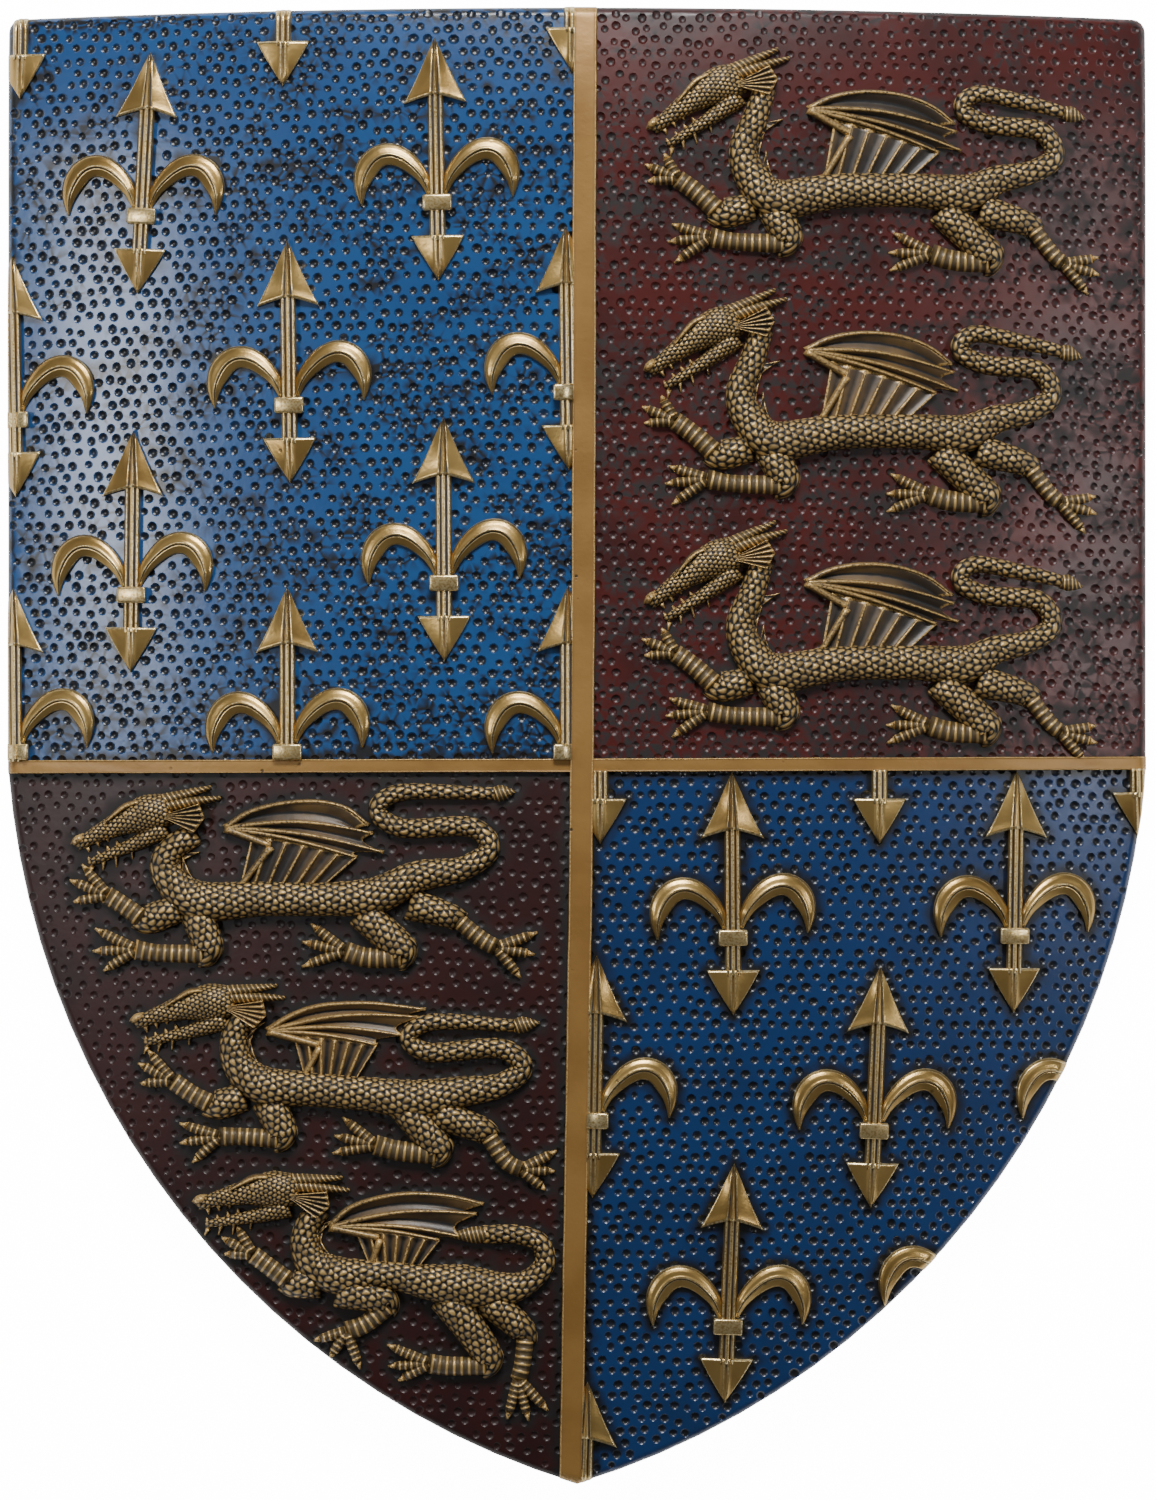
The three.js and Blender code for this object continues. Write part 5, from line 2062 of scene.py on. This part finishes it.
    def _ear(self, bm: Mesh) -> None:
        """A fan of pleats behind the cheek.

        Args:
            bm: the dragon's mesh.
        """
        root, top, middle, low = [self.from_eye(*p) for p in self.ear]
        rim = [top, mix_point(top, middle, 0.5), middle, mix_point(middle, low, 0.5), low]
        pleats = 5

        def shape(across: float, up: float) -> Station:
            """A place on the ear."""
            edge = point_along(rim, across)
            spot = mix_point(root, edge, 0.05 + 0.95 * up)
            fold = abs(math.cos(math.pi * pleats * across)) ** 1.2
            return (*self.place(spot), 4.0 + 1.4 * up * fold)

        plate(bm, 40, 12, shape)

    def _fins(self, bm: Mesh) -> None:
        """Small webbed fins behind the neck and on the back.

        Args:
            bm: the dragon's mesh.
        """
        spine = self.pose.spine
        for (x, y, half), (nx, ny, _) in zip(spine[1:4], spine[2:5]):
            along = Vector((nx - x, ny - y)).normalized()
            out = Vector((-along.y, along.x))
            foot = (x + out.x * half * 0.8, y + out.y * half * 0.8)
            tip = (foot[0] + out.x * 3.4 - along.x * 2.2, foot[1] + out.y * 3.4 - along.y * 2.2)
            end = (foot[0] + along.x * 3.2, foot[1] + along.y * 3.2)
            self._fin(bm, foot, tip, end)

    def _fin(self, bm: Mesh, foot: Point, tip: Point, end: Point) -> None:
        """One pleated fin between three points of the pose.

        Args:
            bm: the dragon's mesh.
            foot: where it grows.
            tip: its tip.
            end: its other end.
        """

        def shape(across: float, up: float) -> Station:
            """A place on the fin."""
            edge = mix_point(tip, end, across)
            dent = 0.14 * math.sin(math.pi * across)
            spot = mix_point(foot, mix_point(edge, foot, dent), 0.04 + 0.96 * up)
            fold = abs(math.cos(math.pi * 2 * across))
            return (*self.place(spot), 0.7 + 0.9 * fold * up)

        plate(bm, 12, 6, shape)


def mix_point(first: Point, second: Point, share: float) -> Point:
    """A point on the way from the first to the second."""
    return (first[0] + (second[0] - first[0]) * share, first[1] + (second[1] - first[1]) * share)


def blend_station(first: Station, second: Station, share: float) -> Station:
    """A point with its half width on the way from the first to the second."""
    return tuple(a + (b - a) * share for a, b in zip(first, second))


def arched(start: Point, end: Point, share: float, lift: float) -> Point:
    """A point on an arch from the start to the end, lifted in the middle."""
    x, y = mix_point(start, end, share)
    return (x, y + lift * math.sin(math.pi * share))


def point_along(line: Sequence[Point], share: float) -> Point:
    """A point on a line of points, by its share of the steps.

    Args:
        line: the points.
        share: how far along, 0 to 1.

    Returns:
        The point there.
    """
    place = max(0.0, min(1.0, share)) * (len(line) - 1)
    index = min(len(line) - 2, int(place))
    return mix_point(line[index], line[index + 1], place - index)


# ---- the hammered fields


@dataclass(frozen=True)
class HammeredField:
    """The ground of a quarter, hammered all over with small round dimples."""

    quarter: Quarter
    finish: Finish
    spacing: float
    radius: float
    deep: float
    jitter: float
    seed: int
    dimple_dirt: float = 0.95
    wall_share: float = 0.34
    clear_edge: float = 1.7
    under_bands: Point = (1.0, 0.8)
    edge_lines: tuple[float, ...] = (0.7, 1.5, 2.5)
    corner_share: float = 0.7
    rim_share: float = 0.8
    plate_depth: float = 3.0
    under_cell: float = 16.0
    under_shift: float = 0.32
    shade_reach: float = 3.5
    least_gap: float = 0.4
    settling: int = 14

    def build(self, shop: Workshop) -> None:
        """Make the field around the quarter's charges.

        Args:
            shop: where the field is finished.
        """
        rng = random.Random(self.seed)
        charges = shop.charge_tree(self.quarter)
        bm = bmesh.new()
        self._lattice(bm, rng)
        self._dimples(bm, rng, charges)
        cuts = self.quarter.cuts(*self.under_bands) + outline_cuts(FIELD_INSET)
        cut_away(bm, cuts, fill=False)
        for inset in self.edge_lines:
            score(bm, outline_cuts(inset))
        shades = self._shades(bm, charges)
        self._close_underneath(bm)
        shades = np.concatenate([shades, np.ones(len(bm.verts) - len(shades))])
        bmesh.ops.recalc_face_normals(bm, faces=bm.faces)
        shop.finish_piece(f"field_{self.quarter.label}", bm, self.finish, shades=shades)

    def _lattice(self, bm: Mesh, rng: random.Random) -> None:
        """A net of triangles with a corner where each dimple may go.

        Args:
            bm: the field's mesh.
            rng: where its chances come from.
        """
        side, rise = self.quarter.value
        wide = GROUND.width / 2 + 3 * self.spacing
        tall = GROUND.height / 2 + 3 * self.spacing
        row_step = self.spacing * math.sqrt(3) / 2
        columns = int(wide / self.spacing)
        rows = int(tall / row_step)
        lines = grid(bm, columns, rows)
        for j, line in enumerate(lines):
            for i, vert in enumerate(line):
                x = (i + 0.5 * (j % 2) - 1.5) * self.spacing + rng.uniform(-1, 1) * self.jitter
                y = (j - 1.5) * row_step + rng.uniform(-1, 1) * self.jitter
                vert.co = (side * x, rise * y + BANDS.crossing, 0.0)
        bmesh.ops.triangulate(bm, faces=bm.faces[:], quad_method="SHORT_EDGE")
        least = 2 * self.radius + self.least_gap
        for _ in range(self.settling):
            for edge in bm.edges:
                first, second = edge.verts
                run = second.co - first.co
                short = least - run.length
                if short > 0:
                    push = run.normalized() * (short / 2)
                    first.co -= push
                    second.co += push

    def _dimples(self, bm: Mesh, rng: random.Random, charges: BVHTree) -> None:
        """Turn the corners that no charge covers into round dimples.

        Args:
            bm: the field's mesh.
            rng: where its chances come from.
            charges: what stands on the field.
        """
        deep = GROUND.depth_inside(
            np.array([v.co.x for v in bm.verts]), np.array([v.co.y for v in bm.verts])
        )
        free = [
            v for v, inside in zip(bm.verts, deep)
            if inside > self.clear_edge and not v.is_boundary and not covered(v.co, charges)
        ]
        rounds = bmesh.ops.bevel(
            bm, geom=free, offset=self.radius * self.corner_share, affect="VERTICES", segments=1,
            profile=0.5, material=-1,
        )["faces"]
        rounds = [f for f in rounds if len(f.verts) > 3]
        edges = list({e for f in rounds for e in f.edges})
        bmesh.ops.subdivide_edges(bm, edges=edges, cuts=1)
        depths = {}
        for face in rounds:
            centre = face.calc_center_median()
            size = rng.uniform(0.8, 1.08)
            squeeze = rng.uniform(0.94, 1.06)
            depths[face] = self.deep * rng.uniform(0.75, 1.15) * size
            for vert in face.verts:
                out = (vert.co - centre).normalized() * (self.radius * size)
                vert.co = centre + Vector((out.x * squeeze, out.y / squeeze, 0))
            for edge in face.edges:
                edge.smooth = False
        bmesh.ops.inset_individual(bm, faces=rounds, thickness=self.radius * self.wall_share)
        for face in rounds:
            for edge in face.edges:
                edge.smooth = True
            for vert in face.verts:
                vert.co.z = -depths[face] * self.rim_share
        made = bmesh.ops.poke(bm, faces=rounds)
        for vert in made["verts"]:
            vert.co.z = vert.co.z / self.rim_share

    def _close_underneath(self, bm: Mesh) -> None:
        """Give the field a plain wall and underside, so that it is a closed plate.

        Args:
            bm: the field's mesh.
        """
        rim = [e for e in bm.edges if e.is_boundary]
        made = bmesh.ops.extrude_edge_only(bm, edges=rim)["geom"]
        for vert in made:
            if isinstance(vert, Vert):
                vert.co.z = -self.plate_depth
        floor = [e for e in made if isinstance(e, Edge) and e.is_boundary]
        flat = bmesh.ops.contextual_create(bm, geom=floor)["faces"]
        split_in_cells(bm, flat, self.under_cell, self.under_shift)

    def _shades(self, bm: Mesh, charges: BVHTree) -> np.ndarray:
        """The painted shade: in the dimples, where it also stands for antiquing, and close to
        charges and bands.

        Args:
            bm: the field's mesh.
            charges: what stands on the field.

        Returns:
            The darkness at each vertex, 0 to 1.
        """
        shades = np.zeros(len(bm.verts))
        lines = self.quarter.cuts(BANDS.pale_width / 2, BANDS.fess_width / 2)
        for i, vert in enumerate(bm.verts):
            # Dimples darken with depth, antiquing and painted shade; places near a charge or a band
            # darken, painted shade.
            dimple = min(1.0, -vert.co.z / self.deep * 1.3) * self.dimple_dirt
            gaps = [
                -((vert.co.x - px) * nx + (vert.co.y - py) * ny) for (px, py), (nx, ny) in lines
            ]
            _, _, _, gap = charges.find_nearest(vert.co, self.shade_reach)
            nearest = max(0.0, min([*gaps, self.shade_reach if gap is None else gap]))
            near = max(0.0, 1 - nearest / self.shade_reach)
            shades[i] = max(dimple, near**1.1 * 1.3)
        return np.clip(shades, 0, 1)


def covered(spot: Vector, charges: BVHTree) -> bool:
    """Whether a charge stands over a place."""
    return charges.ray_cast(Vector((spot.x, spot.y, 50.0)), Vector((0, 0, -1)))[0] is not None


# The lower quarters take the darker copies of blue and maroon, painted shade for the lower half.
FIELDS = (
    HammeredField(
        Quarter.CHIEF_LEFT, BLUE, spacing=4.4, radius=1.62, deep=0.8, jitter=1.3, seed=11
    ),
    HammeredField(
        Quarter.BASE_RIGHT, SHADED_BLUE, spacing=4.3, radius=1.55, deep=0.75, jitter=1.3, seed=12
    ),
    HammeredField(
        Quarter.CHIEF_RIGHT, MAROON, spacing=4.4, radius=1.45, deep=0.65, jitter=1.35, seed=13,
        dimple_dirt=0.3,
    ),
    HammeredField(
        Quarter.BASE_LEFT, SHADED_MAROON, spacing=4.5, radius=1.4, deep=0.55, jitter=1.35, seed=14,
        dimple_dirt=0.3,
    ),
)


# ---- the studio


@dataclass(frozen=True)
class Studio:
    """A plain pale floor, soft lights and the camera."""

    camera_height: float = 2.244
    camera_shift: Point = (0.00046, -0.00031)
    lens: float = 171.7
    sensor: float = 36.0
    surround: float = 0.12
    paper_glow: float = 0.5
    paper_shine: float = 14.0
    floor_half: float = 4.0
    boxes: tuple[tuple[str, Station, Point, float], ...] = (
        ("left_box", (-1.5, 0.2, 1.5), (0.25, 0.4), 9),
        ("right_box", (1.75, 0.12, 1.5), (0.22, 0.3), 7),
        ("top_box", (0.0, 1.5, 1.5), (1.0, 0.4), 56),
    )

    def build(self) -> None:
        """Set it all up."""
        self._floor()
        self._camera()
        self._lights()

    def _floor(self) -> None:
        """The floor under the shield, pale paper that the camera sees as plain white."""
        bm = bmesh.new()
        bmesh.ops.create_grid(bm, x_segments=1, y_segments=1, size=self.floor_half)
        mesh = bpy.data.meshes.new("floor")
        bm.to_mesh(mesh)
        bm.free()
        floor = bpy.data.objects.new("floor", mesh)
        bpy.context.scene.collection.objects.link(floor)
        paper = bpy.data.materials.new("white_paper")
        paper.use_nodes = True
        shader = paper.node_tree.nodes["Principled BSDF"]
        shader.inputs["Base Color"].default_value = (0.93, 0.93, 0.93, 1)
        shader.inputs["Roughness"].default_value = 0.9
        shader.inputs["Emission Color"].default_value = (1, 1, 1, 1)
        seen = new_node(paper.node_tree, "ShaderNodeLightPath").outputs["Is Camera Ray"]
        glow = math_node(paper.node_tree, "MULTIPLY_ADD", seen, self.paper_shine)
        glow.node.inputs[2].default_value = self.paper_glow
        paper.node_tree.links.new(glow, shader.inputs["Emission Strength"])
        mesh.materials.append(paper)

    def _camera(self) -> None:
        """The camera straight over the shield."""
        data = bpy.data.cameras.new("camera")
        data.lens = self.lens
        data.sensor_width = self.sensor
        data.clip_end = 20
        camera = bpy.data.objects.new("camera", data)
        camera.location = (*self.camera_shift, self.camera_height)
        bpy.context.scene.collection.objects.link(camera)
        bpy.context.scene.camera = camera

    def _lights(self) -> None:
        """Soft boxes to the left, the right and the top, and a pale surround."""
        world = bpy.data.worlds.new("surround")
        world.use_nodes = True
        air = world.node_tree.nodes["Background"]
        air.inputs["Color"].default_value = (1, 1, 1, 1)
        air.inputs["Strength"].default_value = self.surround
        bpy.context.scene.world = world
        for name, spot, size, power in self.boxes:
            self._box(name, spot, size, power)

    @staticmethod
    def _box(name: str, spot: Station, size: Point, power: float) -> None:
        """One soft box, turned to the shield.

        Args:
            name: its name.
            spot: where it stands, in metres.
            size: its width and height, in metres.
            power: its power in watts.
        """
        data = bpy.data.lights.new(name, "AREA")
        data.shape = "RECTANGLE"
        data.size, data.size_y = size
        data.energy = power
        light = bpy.data.objects.new(name, data)
        light.location = spot
        light.rotation_euler = (-Vector(spot)).to_track_quat("-Z", "Y").to_euler()
        bpy.context.scene.collection.objects.link(light)


def main() -> None:
    """Build the shield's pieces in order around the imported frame."""
    logging.basicConfig(level=logging.INFO, format="%(relativeCreated)d ms %(name)s %(message)s")
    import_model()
    Studio().build()
    build_worn_paint()
    build_cast_grain()
    build_hide_cover()
    shop = Workshop()
    Casting().build(shop)
    top, side = GROUND.height / 2 + BAND_OVERRUN, GROUND.width / 2 + BAND_OVERRUN
    crossing = BANDS.fess_y(0)
    Band(
        "band_pale", (BANDS.pale_x(-top), -top), (BANDS.pale_x(crossing), crossing),
        (BANDS.pale_x(top), top), BANDS.pale_width, BANDS.pale_relief, 3,
    ).build(shop)
    Band(
        "band_fess", (-side, BANDS.fess_y(-side)), None, (side, BANDS.fess_y(side)),
        BANDS.fess_width, BANDS.fess_relief, 8,
    ).build(shop)
    FleurRows(Quarter.CHIEF_LEFT, CHIEF_FLEURS).build(shop)
    FleurRows(Quarter.BASE_RIGHT, BASE_FLEURS, LONE_PETALS).build(shop)
    for number, (x, y, pose, quarter) in enumerate(DRAGON_PLACES, 1):
        Dragon(number, x, y, pose, quarter).build(shop)
    for hammered in FIELDS:
        hammered.build(shop)


if __name__ == "__main__":
    main()
